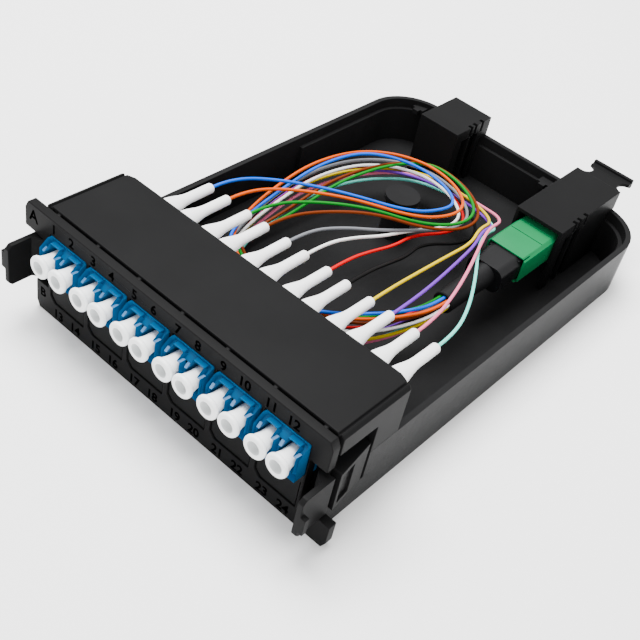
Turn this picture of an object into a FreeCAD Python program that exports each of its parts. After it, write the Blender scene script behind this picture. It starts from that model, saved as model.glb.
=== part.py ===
"""Fibre cassette: twelve LC ports at the front, one MPO port at the rear.

The whole cassette is drawn in one working frame: X runs to the right along the
faceplate, Y runs from the faceplate's front plane to the rear, Z runs up from the
underside. Every sub-part's Placement then moves it back by half the tray's length,
so that the part's origin is the centre of the tray's underside. Lengths are in
millimetres.
"""
import FreeCAD
import Part
import Sketcher
import math
import os
import re

SIZES = (
    # the two shells
    ("body_width", 92.8, "outside width of tray and cover"),
    ("tray_depth", 145.5, "faceplate front to the tray's rear wall, outside"),
    ("tray_height", 16.2, "height of the tray's walls"),
    ("wall", 1.6, "thickness of the tray's walls"),
    ("floor_thickness", 1.8, "thickness of the tray's floor"),
    ("rear_corner", 15.0, "outside radius of the tray's rear corners"),
    ("floor_fillet", 1.0, "radius where the walls meet the floor"),
    ("ledge_width", 1.2, "width of the ledge that carries the lid"),
    ("ledge_drop", 3.0, "depth of the ledge below the wall's top"),
    ("ledge_length", 52.5, "how far the ledge begins ahead of the tray's rear"),
    ("cassette_height", 30.0, "height of the faceplate and of the front cover"),
    ("cover_depth", 26.5, "rear edge of the front cover"),
    ("cover_wall", 1.8, "thickness of the front cover"),
    ("cover_gap", 0.8, "groove between the faceplate and the cover's top"),
    ("cover_bevel", 0.7, "bevel along the cover's upper side edges"),
    ("cover_corner_length", 4.0, "length of the cover's rear corner bevel across the width"),
    ("cover_corner_depth", 1.5, "depth of the cover's rear corner bevel"),
    ("shoulder_inset", 1.5, "line along the cover's top, measured from its side"),
    ("shoulder_groove", 0.5, "width and depth of that line"),
    ("bridge_width", 1.2, "width of a nub that bridges the groove behind the faceplate"),
    ("seat_clearance", 0.05, "clearance of flat faces that slide on each other"),
    # faceplate
    ("faceplate_thickness", 2.4, "thickness of the faceplate"),
    ("ear_reach", 4.0, "how far an ear stands out beyond the body's side"),
    ("ear_height", 7.4, "height of an ear"),
    ("ear_chamfer", 2.0, "corner cut of an ear"),
    ("notch_depth", 4.7, "how far the latch notch cuts into the faceplate"),
    ("notch_height", 14.1, "height of the latch notch"),
    ("window_clearance", 0.15, "gap round an adapter in its window"),
    # adapters and ports
    ("row_margin", 4.7, "body's side to the outer edge of the row's outermost place"),
    ("adapter_gap", 1.1, "gap between two adapters"),
    ("adapter_height", 9.4, "height of a duplex adapter"),
    ("adapter_length", 26.5, "length of a duplex adapter"),
    ("adapter_proud", 3.0, "how far an adapter stands out of the faceplate"),
    ("adapter_drop", 9.3, "adapters' centre below the cassette's top"),
    ("adapter_slope", 2.4, "how far an adapter's sloping front falls to its front edge"),
    ("flange_thickness", 1.2, "thickness of an adapter's flange behind the faceplate"),
    ("flange_margin", 0.4, "how far the flange stands out round the adapter"),
    ("port_pitch", 6.25, "spacing of the two ports of one adapter"),
    ("port_drop", 0.3, "port axes below the adapters' centre"),
    ("port_square", 4.8, "side of a port's square opening"),
    ("port_depth", 10.5, "depth of a port from either end"),
    ("key_width", 3.2, "width of a port's keyway"),
    ("key_height", 1.6, "height of a port's keyway above the square"),
    ("sleeve_length", 8.8, "length of an alignment sleeve"),
    ("sleeve_outer", 2.5, "outside diameter of an alignment sleeve"),
    ("sleeve_bore", 1.3, "bore of an alignment sleeve"),
    ("sleeve_slit", 0.25, "slit of an alignment sleeve"),
    ("sleeve_clearance", 0.05, "gap round a sleeve in its hole"),
    # dust caps
    ("cap_flange", 6.1, "diameter of a dust cap's flange"),
    ("cap_flange_thickness", 1.1, "thickness of a dust cap's flange"),
    ("cap_reach", 6.0, "front of a dust cap's flange, ahead of the faceplate"),
    ("cap_stem", 4.3, "diameter of a dust cap's stem"),
    ("cap_insert", 4.0, "how far the stem goes in behind the faceplate's front"),
    ("cap_dimple", 2.6, "diameter of the dimple in a dust cap's flange"),
    ("cap_dimple_depth", 0.9, "depth of the dimple"),
    # blank strip behind the lower row of windows
    ("blank_gap", 1.5, "gap between two lower windows"),
    ("row_gap", 2.4, "gap between a lower window and the adapter above it"),
    ("blank_low", 5.0, "lower edge of the lower windows"),
    ("blank_chamfer", 1.6, "corner cut of a lower window"),
    ("blank_groove", 0.35, "line round a blank in its window"),
    ("blank_recess", 0.3, "how far a blank lies behind the faceplate's front"),
    ("blank_backing", 1.4, "thickness of the strip behind the faceplate"),
    # LC plugs
    ("plug_square", 4.5, "side of an LC plug's housing"),
    ("plug_insert", 7.7, "how far an LC plug goes into its adapter"),
    ("plug_length", 12.2, "length of an LC plug's housing"),
    ("plug_latch_width", 1.9, "width of an LC plug's latch"),
    ("plug_latch_thickness", 0.8, "thickness of an LC plug's latch"),
    ("boot_base", 5.8, "diameter of a boot at its base"),
    ("boot_root", 2.5, "length of a boot's straight root"),
    ("boot_neck", 3.2, "diameter of a boot at its tip"),
    ("boot_flare", 10.5, "length of a boot's flare"),
    ("boot_end", 8.0, "length of a boot's straight end"),
    ("ferrule_diameter", 1.25, "diameter of an LC ferrule"),
    ("ferrule_proud", 4.4, "how far an LC ferrule stands out of its plug"),
    # side latches
    ("latch_height", 11.8, "height of a latch"),
    ("latch_low", 8.2, "lower edge of the right latch, and the upper edge of the left below the top"),
    ("latch_plate", 1.4, "thickness of a latch's tab and spine"),
    ("tab_front", -7.9, "front end of a finger tab"),
    ("tab_rear", 1.6, "rear end of a finger tab"),
    ("tab_offset", 0.1, "inner face of the tab, inside the body's side"),
    ("tab_ridge", 1.3, "how far the ridge at the tab's front stands outwards"),
    ("tab_ridge_low", 2.2, "lower end of that ridge, above the right latch's lower edge"),
    ("tab_ridge_height", 5.0, "height of that ridge"),
    ("tab_corner", 1.0, "corner cut of a finger tab"),
    ("rail_slot", 1.6, "slot between the tab and the catch"),
    ("catch_proud", 1.6, "how far the catch stands out of the body's side"),
    ("catch_rear", 14.6, "rear end of the catch"),
    ("catch_pocket", 0.6, "depth of the pocket in the catch"),
    ("spine_inset", 2.5, "inner face of the spine, inside the body's side"),
    ("pivot_inset", 3.5, "latch pin's centre, inside the body's side"),
    ("pivot_rear", 17.2, "latch pin's centre, behind the faceplate's front"),
    ("pin_diameter", 2.0, "diameter of a latch pin"),
    ("pin_clearance", 0.05, "radial clearance of a latch on its pin"),
    ("barrel_diameter", 3.2, "diameter of a latch's barrel"),
    ("window_rear", 15.5, "rear edge of the latch window in the side"),
    ("window_drop", 5.5, "upper edge of the latch window below the cassette's top"),
    ("window_margin", 0.2, "gap under the lower latch in its window"),
    # slack post
    ("post_side", -9.0, "slack post's centre, sideways"),
    ("post_ahead", 48.0, "slack post's centre, ahead of the tray's rear"),
    ("post_neck", 8.8, "diameter of the slack post"),
    ("post_cap", 10.2, "diameter of the disc on the slack post"),
    ("post_cap_thickness", 1.5, "thickness of that disc"),
    ("post_height", 15.4, "top of the slack post"),
    # rear port
    ("mpo_inset", 19.9, "rear port's axis, inside the body's right side"),
    ("mpo_level", 15.2, "rear port's axis, height"),
    ("mpo_width", 13.0, "width of the rear adapter"),
    ("mpo_height", 9.4, "height of the rear adapter"),
    ("mpo_length", 29.0, "length of the rear adapter"),
    ("mpo_proud", 1.0, "how far the rear adapter stands out of the tray's rear"),
    ("mpo_bore_width", 10.2, "width of the rear adapter's bore"),
    ("mpo_bore_height", 7.0, "height of the rear adapter's bore"),
    ("mpo_clearance", 0.1, "gap between the MPO plug and what it slides in"),
    ("mpo_insert", 13.5, "how far the MPO plug goes into the rear adapter"),
    ("coupling_width", 12.2, "width of the green coupling sleeve"),
    ("coupling_height", 8.4, "height of the green coupling sleeve"),
    ("coupling_length", 20.5, "length of the coupling sleeve"),
    ("coupling_chamfer", 1.0, "corner cut of the coupling sleeve"),
    ("coupling_travel", 3.2, "depth of the sleeve's front recess, which slides over the collar"),
    ("collar_length", 9.5, "length of the MPO plug's collar"),
    ("collar_width", 11.0, "width of the MPO plug's collar"),
    ("collar_height", 7.4, "height of the MPO plug's collar"),
    ("collar_round", 2.6, "corner radius of the MPO plug's collar"),
    ("mpo_boot_length", 18.5, "length of the MPO plug's boot"),
    ("mpo_boot_base", 7.0, "diameter of the MPO boot at the collar"),
    ("mpo_boot_end", 6.0, "diameter of the MPO boot at its mouth"),
    ("mpo_boot_root", 5.5, "length of the boot's wide root at the collar"),
    ("mpo_boot_bore", 4.5, "bore of the MPO boot"),
    ("mpo_boot_web", 7.5, "solid length of the boot behind its bore"),
    ("mt_width", 6.4, "width of the MT ferrule"),
    ("mt_height", 2.5, "height of the MT ferrule"),
    ("mt_length", 8.0, "length of the MT ferrule"),
    ("guide_pin_spacing", 4.6, "spacing of the MT ferrule's guide pins"),
    ("guide_pin_diameter", 0.7, "diameter of a guide pin"),
    ("guide_pin_proud", 2.0, "how far a guide pin stands out of the ferrule"),
    # hoods over the two rear bays
    ("hood_wall", 0.95, "thickness of a hood's walls"),
    ("hood_roof", 1.2, "thickness of a hood's roof"),
    ("hood_top", 22.5, "top of the hoods"),
    ("hood_length", 33.5, "front of the MPO hood, ahead of the tray's rear"),
    ("hood_gap", 1.1, "gap between a hood's walls and the tray's rear ledge"),
    ("hood_notch", 1.2, "depth of the notches in a hood's roof"),
    ("hood_clearance", 0.1, "gap between a hood and the tray's rear wall"),
    ("blank_hood_inset", 26.4, "centre of the empty rear bay, inside the body's left side"),
    ("blank_hood_width", 14.0, "width of the hood over the empty rear bay"),
    ("blank_hood_length", 18.5, "front of the empty bay's hood, ahead of the tray's rear"),
    # rear release tab
    ("tab_thickness", 1.1, "thickness of the rear tab's blade"),
    ("tab_level", 20.05, "underside of the rear tab's blade"),
    ("tab_blade_width", 9.0, "width of the rear tab's blade"),
    ("tab_blade_reach", 23.5, "front end of the rear tab's blade, ahead of the tray's rear"),
    ("tab_head_width", 12.4, "width of the stop at the blade's front end"),
    ("tab_head_length", 3.0, "length of that stop"),
    ("tab_wing_gap", 0.7, "gap between the tray's rear and the rear tab's wide part"),
    ("tab_bar_width", 13.4, "width of the rear tab's bar"),
    ("tab_proud", 10.5, "how far the rear tab stands out of the tray's rear"),
    ("tab_waist", 9.0, "width of the rear tab between its finger arcs"),
    ("tab_arc", 3.0, "radius of the finger arcs"),
    ("tab_bar_lip", 1.2, "thickness of the lip along the bar's rear edge"),
    ("tab_lip_height", 2.6, "height of that lip"),
    # fibres
    ("fibre_diameter", 0.9, "diameter of a buffered fibre"),
)
ALIASES = {alias for alias, _, _ in SIZES}
# Sizes and places that follow from the driving ones, as expressions on them.
FOLLOWING = {
    "adapter_pitch": "(body_width - 2 * row_margin) / 6",
    "adapter_width": "adapter_pitch - adapter_gap",
    "adapter_level": "cassette_height - adapter_drop",
    "adapter_rear": "adapter_length - adapter_proud",
    "port_level": "adapter_level - port_drop",
    "blank_width": "adapter_pitch - blank_gap",
    "blank_top": "adapter_level - adapter_height / 2 - row_gap",
    "plug_front": "adapter_rear - plug_insert",
    "plug_rear": "plug_front + plug_length",
    "boot_collar": "plug_rear + boot_root",
    "boot_shoulder": "boot_collar + boot_flare",
    "boot_tip": "boot_shoulder + boot_end",
    "ferrule_front": "plug_front - ferrule_proud",
    "left_latch_low": "cassette_height - latch_low - latch_height",
    "window_top": "cassette_height - window_drop",
    "window_base": "min(latch_low, left_latch_low) - window_margin",
    "ledge_start": "tray_depth - ledge_length",
    "post_rear": "tray_depth - post_ahead",
    "mpo_side": "body_width / 2 - mpo_inset",
    "mpo_rear": "tray_depth + mpo_proud",
    "mpo_front": "mpo_rear - mpo_length",
    "mpo_plug_end": "mpo_front + mpo_insert",
    "coupling_front": "mpo_front - coupling_length",
    "collar_front": "coupling_front - collar_length",
    "mpo_boot_front": "collar_front - mpo_boot_length",
    "mpo_boot_step": "collar_front - mpo_boot_root",
    "mpo_boot_bottom": "collar_front - mpo_boot_web",
    "hood_front": "tray_depth - hood_length",
    "hood_rear": "tray_depth - wall - ledge_width - hood_gap",
    "blank_hood_side": "blank_hood_inset - body_width / 2",
    "blank_hood_front": "tray_depth - blank_hood_length",
    "tab_blade_front": "tray_depth - tab_blade_reach",
    "tab_wing_front": "tray_depth + tab_wing_gap",
    "tab_bar_rear": "tray_depth + tab_proud",
}
ADAPTERS = 6
PORTS = 2 * ADAPTERS
TO_ORIGIN = "-tray_depth / 2"
PLANES = {"XY": ("XY_Plane", "", False), "XZ": ("XZ_Plane", "-", True), "YZ": ("YZ_Plane", "", False)}

doc = FreeCAD.newDocument("FibreCassette")
sheet = doc.addObject("Spreadsheet::Sheet", "Sizes")
for row, (alias, size, meaning) in enumerate(SIZES, start=1):
    sheet.set(f"A{row}", meaning)
    sheet.set(f"B{row}", str(size))
    sheet.setAlias(f"B{row}", alias)
doc.recompute()
subparts = []


def size(alias):
    """One driving dimension as a number, read from the sheet."""
    return float(sheet.get(alias))


def ref(expression):
    """An expression on bare names, written out on the sheet's aliases for setExpression."""
    def written_out(match):
        name = match[0]
        if name in FOLLOWING:
            return f"({ref(FOLLOWING[name])})"
        return f"Sizes.{name}" if name in ALIASES else name

    return re.sub(r"[a-z_]+", written_out, expression)


def new_body(label, side="0", level="0"):
    """A PartDesign body with its Label, placed sideways and up in the cassette."""
    body = doc.addObject("PartDesign::Body", label)
    place(body, label, side, level)
    return body


def place(thing, label, side="0", level="0"):
    """Label a sub-part, bind its Placement and put it on the list of nodes."""
    thing.Label = label
    thing.setExpression("Placement.Base.x", ref(side))
    thing.setExpression("Placement.Base.y", ref(TO_ORIGIN))
    thing.setExpression("Placement.Base.z", ref(level))
    subparts.append(thing)


def bind(sketch, kind, geometry, point, expression):
    """Fix one coordinate of a sketch point, measured from the origin."""
    index = sketch.addConstraint(Sketcher.Constraint(kind, -1, 1, geometry, point, 1.0))
    sketch.setExpression(f"Constraints[{index}]", ref(expression))


def polygon(sketch, points):
    """Draw a closed outline whose corners are pairs of expressions."""
    first = sketch.GeometryCount
    count = len(points)
    ring = [FreeCAD.Vector(math.cos(2 * math.pi * i / count), math.sin(2 * math.pi * i / count), 0)
            for i in range(count)]
    for i in range(count):
        sketch.addGeometry(Part.LineSegment(ring[i], ring[(i + 1) % count]), False)
    for i, (across, up) in enumerate(points):
        following = first + (i + 1) % count
        sketch.addConstraint(Sketcher.Constraint("Coincident", first + i, 2, following, 1))
        bind(sketch, "DistanceX", first + i, 1, across)
        bind(sketch, "DistanceY", first + i, 1, up)


def rectangle(left, right, low, high):
    """Corners of a rectangle, for polygon."""
    return [(left, low), (right, low), (right, high), (left, high)]


def centred(width, low, high):
    """Corners of a rectangle that is centred sideways."""
    return rectangle(f"-({width}) / 2", f"({width}) / 2", low, high)


def octagon(across, up, width):
    """Corners of a regular octagon from flat to flat, for small round things."""
    half, corner = f"({width}) / 2", f"({width}) / 2 * {math.tan(math.pi / 8):.6f}"
    steps = ((half, corner), (corner, half), (f"-{corner}", half), (f"-{half}", corner),
             (f"-{half}", f"-{corner}"), (f"-{corner}", f"-{half}"), (corner, f"-{half}"), (half, f"-{corner}"))
    return [(f"{across} + {sideways}", f"{up} + {upwards}") for sideways, upwards in steps]


def circle(sketch, across, up, diameter):
    """Draw a circle at a pair of expressions."""
    index = sketch.addGeometry(Part.Circle(FreeCAD.Vector(0, 0, 0), FreeCAD.Vector(0, 0, 1), 1.0), False)
    bind(sketch, "DistanceX", index, 3, across)
    bind(sketch, "DistanceY", index, 3, up)
    radius = sketch.addConstraint(Sketcher.Constraint("Diameter", index, 2.0))
    sketch.setExpression(f"Constraints[{radius}]", ref(diameter))


def draw(sketch, shapes):
    """Draw polygons (lists of corners) and circles (tuples of three)."""
    for shape in shapes:
        if isinstance(shape, tuple):
            circle(sketch, *shape)
        else:
            polygon(sketch, shape)


def sketch_in(body, name, plane, level, shapes):
    """A sketch on one of the body's own planes, at a level along its axis."""
    role, sign, _ = PLANES[plane]
    sketch = body.newObject("Sketcher::SketchObject", name)
    support = next(item for item in body.Origin.OriginFeatures if item.Role == role)
    sketch.AttachmentSupport = (support, [""])
    sketch.MapMode = "FlatFace"
    sketch.setExpression("AttachmentOffset.Base.z", ref(f"{sign}({level})"))
    draw(sketch, shapes)
    return sketch


def feature(body, kind, name, sketch):
    """A sketch-based feature that becomes the body's tip."""
    made = body.newObject(kind, name)
    made.Profile = sketch
    body.Tip = made
    sketch.Visibility = False
    return made


def pad(body, name, plane, start, length, shapes):
    """Add material from a level, in the axis's positive direction."""
    sketch = sketch_in(body, name + "_sketch", plane, start, shapes)
    made = feature(body, "PartDesign::Pad", name, sketch)
    made.Reversed = PLANES[plane][2]
    made.setExpression("Length", ref(length))
    return made


def pocket(body, name, plane, start, length, shapes):
    """Remove material from a level, in the axis's positive direction."""
    doc.recompute()
    before = body.Shape.Volume
    sketch = sketch_in(body, name + "_sketch", plane, start, shapes)
    made = feature(body, "PartDesign::Pocket", name, sketch)
    made.Reversed = not PLANES[plane][2]
    made.setExpression("Length", ref(length))
    doc.recompute()
    if not body.Shape.Volume < before:
        raise RuntimeError(f"{name} of {body.Label} cuts nothing")
    return made


def dress(body, kind, name, amount, wanted):
    """Fillet or chamfer the edges of the body that a test picks."""
    doc.recompute()
    tip = body.Tip
    edges = [f"Edge{i}" for i, edge in enumerate(tip.Shape.Edges, start=1) if wanted(edge)]
    if not edges:
        raise RuntimeError(f"{name} of {body.Label} finds no edge")
    made = body.newObject(kind, name)
    made.Base = (tip, edges)
    made.setExpression("Radius" if kind.endswith("Fillet") else "Size", ref(amount))
    body.Tip = made
    return made


def runs_along(edge, direction):
    """Whether an edge is straight and runs along a unit vector."""
    if not isinstance(edge.Curve, (Part.Line, Part.LineSegment)):
        return False
    return abs(abs(edge.tangentAt(edge.FirstParameter).dot(direction)) - 1) < 1e-6


def near(first, second, tolerance=0.01):
    """Whether two numbers are the same size."""
    return abs(first - second) < tolerance


X_AXIS = FreeCAD.Vector(1, 0, 0)
Y_AXIS = FreeCAD.Vector(0, 1, 0)
Z_AXIS = FreeCAD.Vector(0, 0, 1)


def port_side(port):
    """Sideways place of a port's axis, as an expression; ports count from 0."""
    adapter, half = divmod(port, 2)
    return f"({adapter} - {(ADAPTERS - 1) / 2}) * adapter_pitch + ({half} - 0.5) * port_pitch"


def adapter_side(adapter):
    """Sideways place of an adapter's centre, as an expression."""
    return f"({adapter} - {(ADAPTERS - 1) / 2}) * adapter_pitch"


def base_tray():
    """Lower shell: floor, walls, lid ledge, slack post, latch pins, rear port seat."""
    body = new_body("base_tray")
    front = "faceplate_thickness"
    pad(body, "tray_block", "XY", "0", "tray_height", [centred("body_width", front, "tray_depth")])
    rear = size("tray_depth")
    dress(body, "PartDesign::Fillet", "rear_corners", "rear_corner",
          lambda e: runs_along(e, Z_AXIS) and near(e.Vertexes[0].Y, rear))
    side, slim = "body_width / 2 - wall", "body_width / 2 - wall - ledge_width"
    turn, arc = "body_width / 2 - rear_corner", "tray_depth - rear_corner"
    hollows = (("upper", "tray_height - ledge_drop", side, "tray_depth - wall", "rear_corner - wall"),
               ("lower", "floor_thickness", slim, "tray_depth - wall - ledge_width",
                "rear_corner - wall - ledge_width"))
    for name, level, wide, back, radius in hollows:
        right = [(side, "-wall"), (side, "ledge_start"), (wide, "ledge_start"), (wide, arc), (turn, arc),
                 (turn, back)]
        if wide == side:
            right = [right[0]] + right[3:]
        left = [(f"-({across})", along) for across, along in reversed(right)]
        pocket(body, f"{name}_corners", "XY", level, "tray_height",
               [(turn, arc, f"2 * ({radius})"), (f"-({turn})", arc, f"2 * ({radius})")])
        pocket(body, f"{name}_hollow", "XY", level, "tray_height", [right + left])
    pocket(body, "latch_windows", "YZ", "-body_width", "2 * body_width",
           [rectangle("-wall", "window_rear", "window_base", "2 * tray_height")])
    pocket(body, "rear_port", "XZ", "tray_depth - 2 * wall - ledge_width", "3 * wall + ledge_width",
           [rectangle("mpo_side - mpo_width / 2 - mpo_clearance", "mpo_side + mpo_width / 2 + mpo_clearance",
                      "mpo_level - mpo_height / 2", "2 * tray_height")])
    pad(body, "rear_port_seat", "XY", "floor_thickness / 2",
        "mpo_level - mpo_height / 2 - floor_thickness / 2",
        [rectangle("mpo_side - mpo_width / 2 + 2 * wall", "mpo_side + mpo_width / 2 - 2 * wall",
                   "mpo_front + 2 * wall", "tray_depth - wall")])
    pins = [(f"{sign}(body_width / 2 - pivot_inset)", "pivot_rear", "pin_diameter") for sign in ("-", "")]
    pad(body, "latch_pins", "XY", "floor_thickness / 2",
        "cassette_height - latch_low + 1 - floor_thickness / 2", pins)
    pad(body, "post_neck_pad", "XY", "floor_thickness / 2", "post_height - floor_thickness / 2",
        [("post_side", "post_rear", "post_neck")])
    pad(body, "post_disc", "XY", "post_height - post_cap_thickness", "post_cap_thickness",
        [("post_side", "post_rear", "post_cap")])
    for number, catch in enumerate(("9.8 - body_width / 2", "mpo_side - 14.1"), start=1):
        lid_catch(body, number, catch)
    return body


def lid_catch(body, number, side):
    """A small cross-shaped catch for the lid, on the rear wall under its top."""
    for part, width, reach in (("wide", "4", "3.2"), ("long", "2", "4.6")):
        pad(body, f"lid_catch_{number}_{part}", "XY", "tray_height - ledge_drop", "ledge_drop / 2",
            [rectangle(f"({side}) - {width} / 2", f"({side}) + {width} / 2",
                       f"tray_depth - wall - {reach}", "tray_depth - wall / 2")])


def faceplate():
    """Front plate with two ears, two latch notches and two rows of windows."""
    body = new_body("faceplate")
    side, ear = "body_width / 2", "body_width / 2 + ear_reach"
    inner = "body_width / 2 - notch_depth"
    top, notch_top = "cassette_height", "ear_height + notch_height"

    def turned(across, up):
        """The same corner, half a turn about the plate's centre."""
        return f"-({across})", f"cassette_height - ({up})"

    half_turn = [(ear + " - ear_chamfer / 2", "0"), (ear, "ear_chamfer"), (ear, "ear_height"),
                 (ear + " - ear_reach / 2", "ear_height"), (inner, "ear_height + ear_chamfer / 4"),
                 (inner, notch_top), (side, notch_top), (side, top + " - ear_chamfer"),
                 (side + " - ear_chamfer / 2", top)]
    outline = half_turn + [turned(across, up) for across, up in half_turn]
    pad(body, "plate", "XZ", "0", "faceplate_thickness", [outline])
    upper = [rectangle(f"{adapter_side(i)} - adapter_width / 2 - window_clearance",
                       f"{adapter_side(i)} + adapter_width / 2 + window_clearance",
                       "adapter_level - adapter_height / 2 - window_clearance",
                       "adapter_level + adapter_height / 2 + window_clearance") for i in range(ADAPTERS)]
    pocket(body, "adapter_windows", "XZ", "-faceplate_thickness", "3 * faceplate_thickness", upper)
    lower = [blank_outline(i, "0") for i in range(ADAPTERS)]
    pocket(body, "blank_windows", "XZ", "-faceplate_thickness", "3 * faceplate_thickness", lower)
    return body


def blank_outline(adapter, margin):
    """Outline of a lower window, or of a blank that leaves a margin round it."""
    centre = adapter_side(adapter)
    left, right = f"{centre} - blank_width / 2 + {margin}", f"{centre} + blank_width / 2 - {margin}"
    low, high = f"blank_low + {margin}", f"blank_top - {margin}"
    return [(f"{left} + blank_chamfer", low), (right, low), (right, high), (left, high),
            (left, f"{low} + blank_chamfer")]


def blank_strip():
    """One strip whose six pads fill the lower windows."""
    body = new_body("blank_strip")
    pad(body, "backing", "XZ", "faceplate_thickness", "blank_backing",
        [centred(f"{ADAPTERS - 1} * adapter_pitch + adapter_width", "blank_low - blank_groove + window_clearance",
                 "blank_top + blank_groove + window_clearance")])
    pads = [blank_outline(i, "blank_groove") for i in range(ADAPTERS)]
    pad(body, "pads", "XZ", "blank_recess", "faceplate_thickness - blank_recess + blank_backing / 2", pads)
    return body


def front_cover():
    """Upper shell over the adapters, open to the front and the rear."""
    body = new_body("front_cover")
    start, length = "faceplate_thickness + cover_gap", "cover_depth - faceplate_thickness - cover_gap"
    out, inside = "body_width / 2", "body_width / 2 - cover_wall"
    ceiling, roof = "cassette_height - cover_wall", "cassette_height"
    channel = [(f"-({out})", "tray_height"), (f"-({inside})", "tray_height"), (f"-({inside})", ceiling),
               (inside, ceiling), (inside, "tray_height"), (out, "tray_height"),
               (out, f"{roof} - cover_bevel"), (f"{out} - cover_bevel", roof),
               (f"cover_bevel - ({out})", roof), (f"-({out})", f"{roof} - cover_bevel")]
    pad(body, "channel", "XZ", start, length, [channel])
    for sign, name in (("", "right"), ("-", "left")):
        corner = [(f"{sign}({out} + 1)", "cover_depth + 1"), (f"{sign}({out} + 1)", "cover_depth - cover_corner_depth"),
                  (f"{sign}({out})", "cover_depth - cover_corner_depth"),
                  (f"{sign}({out} - cover_corner_length)", "cover_depth"),
                  (f"{sign}({out} - cover_corner_length)", "cover_depth + 1")]
        pocket(body, f"{name}_rear_bevel", "XY", "0", "2 * cassette_height", [corner])
    pocket(body, "latch_windows", "YZ", "-body_width", "2 * body_width",
           [rectangle("0", "window_rear", "tray_height - 1", "window_top")])
    grooves = [rectangle(f"{sign}({out} - shoulder_inset) - shoulder_groove / 2",
                         f"{sign}({out} - shoulder_inset) + shoulder_groove / 2", "0", "2 * cover_depth")
               for sign in ("", "-")]
    pocket(body, "shoulder_lines", "XY", "cassette_height - shoulder_groove", "2 * shoulder_groove", grooves)
    nubs = [rectangle(f"{i} * adapter_pitch - bridge_width / 2", f"{i} * adapter_pitch + bridge_width / 2",
                      "faceplate_thickness + seat_clearance", f"{start} + cover_gap")
            for i in range(-ADAPTERS // 2, ADAPTERS // 2 + 1)]
    pad(body, "bridges", "XY", ceiling, "cover_wall - shoulder_groove", nubs)
    return body


def lc_adapter(adapter):
    """Duplex adapter: two ports through, a sleeve web in the middle, a flange."""
    body = new_body(f"lc_adapter_{adapter + 1}", adapter_side(adapter))
    low, high = "adapter_level - adapter_height / 2", "adapter_level + adapter_height / 2"
    front = "-adapter_proud"
    corner = "port_square / 8"
    width = "adapter_width / 2"
    pad(body, "shell", "XZ", front, "adapter_length",
        [[(f"-{width}", low), (width, low), (width, f"{high} - {corner}"), (f"{width} - {corner}", high),
          (f"{corner} - {width}", high), (f"-{width}", f"{high} - {corner}")]])
    pad(body, "flange", "XZ", "faceplate_thickness", "flange_thickness",
        [centred("adapter_width + 2 * flange_margin", f"{low} - flange_margin", f"{high} + flange_margin")])
    pocket(body, "sloping_front", "YZ", "-adapter_width", "2 * adapter_width",
           [[(f"{front} - 1", f"{high} - adapter_slope * 4 / 3"), ("0", high), ("0", f"{high} + 1"),
             (f"{front} - 1", f"{high} + 1")]])
    half = "port_square / 2"
    ports = []
    for sign in ("-", ""):
        centre = f"{sign}port_pitch / 2"
        ports.append([(f"{centre} - {half}", f"port_level - {half}"), (f"{centre} + {half}", f"port_level - {half}"),
                      (f"{centre} + {half}", f"port_level + {half}"),
                      (f"{centre} + key_width / 2", f"port_level + {half}"),
                      (f"{centre} + key_width / 2", f"port_level + {half} + key_height"),
                      (f"{centre} - key_width / 2", f"port_level + {half} + key_height"),
                      (f"{centre} - key_width / 2", f"port_level + {half}"),
                      (f"{centre} - {half}", f"port_level + {half}")])
    pocket(body, "front_ports", "XZ", f"{front} - 1", "port_depth + 1", ports)
    pocket(body, "rear_ports", "XZ", f"{front} + adapter_length - port_depth", "port_depth + 1", ports)
    pocket(body, "sleeve_holes", "XZ", "0", "adapter_length - adapter_proud - 1",
           [octagon(f"{sign}port_pitch / 2", "port_level", "sleeve_outer + 2 * sleeve_clearance")
            for sign in ("-", "")])
    return body


def extruded(label, shapes, start, length):
    """A group of like solids, extruded along Y from one sketch."""
    sketch = doc.addObject("Sketcher::SketchObject", label + "_sketch")
    sketch.Placement = FreeCAD.Placement(FreeCAD.Vector(0, 0, 0), FreeCAD.Rotation(X_AXIS, 90))
    sketch.setExpression("Placement.Base.y", ref(start))
    draw(sketch, shapes)
    solid = doc.addObject("Part::Extrusion", label)
    solid.Base = sketch
    solid.DirMode = "Custom"
    solid.Dir = Y_AXIS
    solid.Solid = True
    solid.setExpression("LengthFwd", ref(length))
    return solid


def group(label, solids):
    """Put like solids together as one node."""
    compound = doc.addObject("Part::Compound", label)
    compound.Links = solids
    place(compound, label)


def alignment_sleeves():
    """The slit sleeves in the middle of the adapters, as one group."""
    middle = "adapter_length / 2 - adapter_proud"
    sleeves = []
    for port in range(PORTS):
        side = port_side(port)
        tube = extruded(f"sleeve_tube_{port + 1}", [octagon(side, "port_level", "sleeve_outer"),
                                                    octagon(side, "port_level", "sleeve_bore")],
                        f"{middle} - sleeve_length / 2", "sleeve_length")
        slit = rectangle(f"{side} - sleeve_slit / 2", f"{side} + sleeve_slit / 2",
                         "port_level", "port_level + sleeve_outer")
        sleeve = doc.addObject("Part::Cut", f"sleeve_{port + 1}")
        sleeve.Base = tube
        sleeve.Tool = extruded(f"sleeve_slit_{port + 1}", [slit], f"{middle} - sleeve_length", "2 * sleeve_length")
        sleeves.append(sleeve)
    group("alignment_sleeves", sleeves)


def lc_ferrules():
    """The ceramic ferrules in front of the LC plugs, as one group."""
    group("lc_ferrules", [extruded(f"ferrule_{port + 1}", [octagon(port_side(port), "port_level", "ferrule_diameter")],
                                   "ferrule_front", "plug_front - ferrule_front") for port in range(PORTS)])


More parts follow.
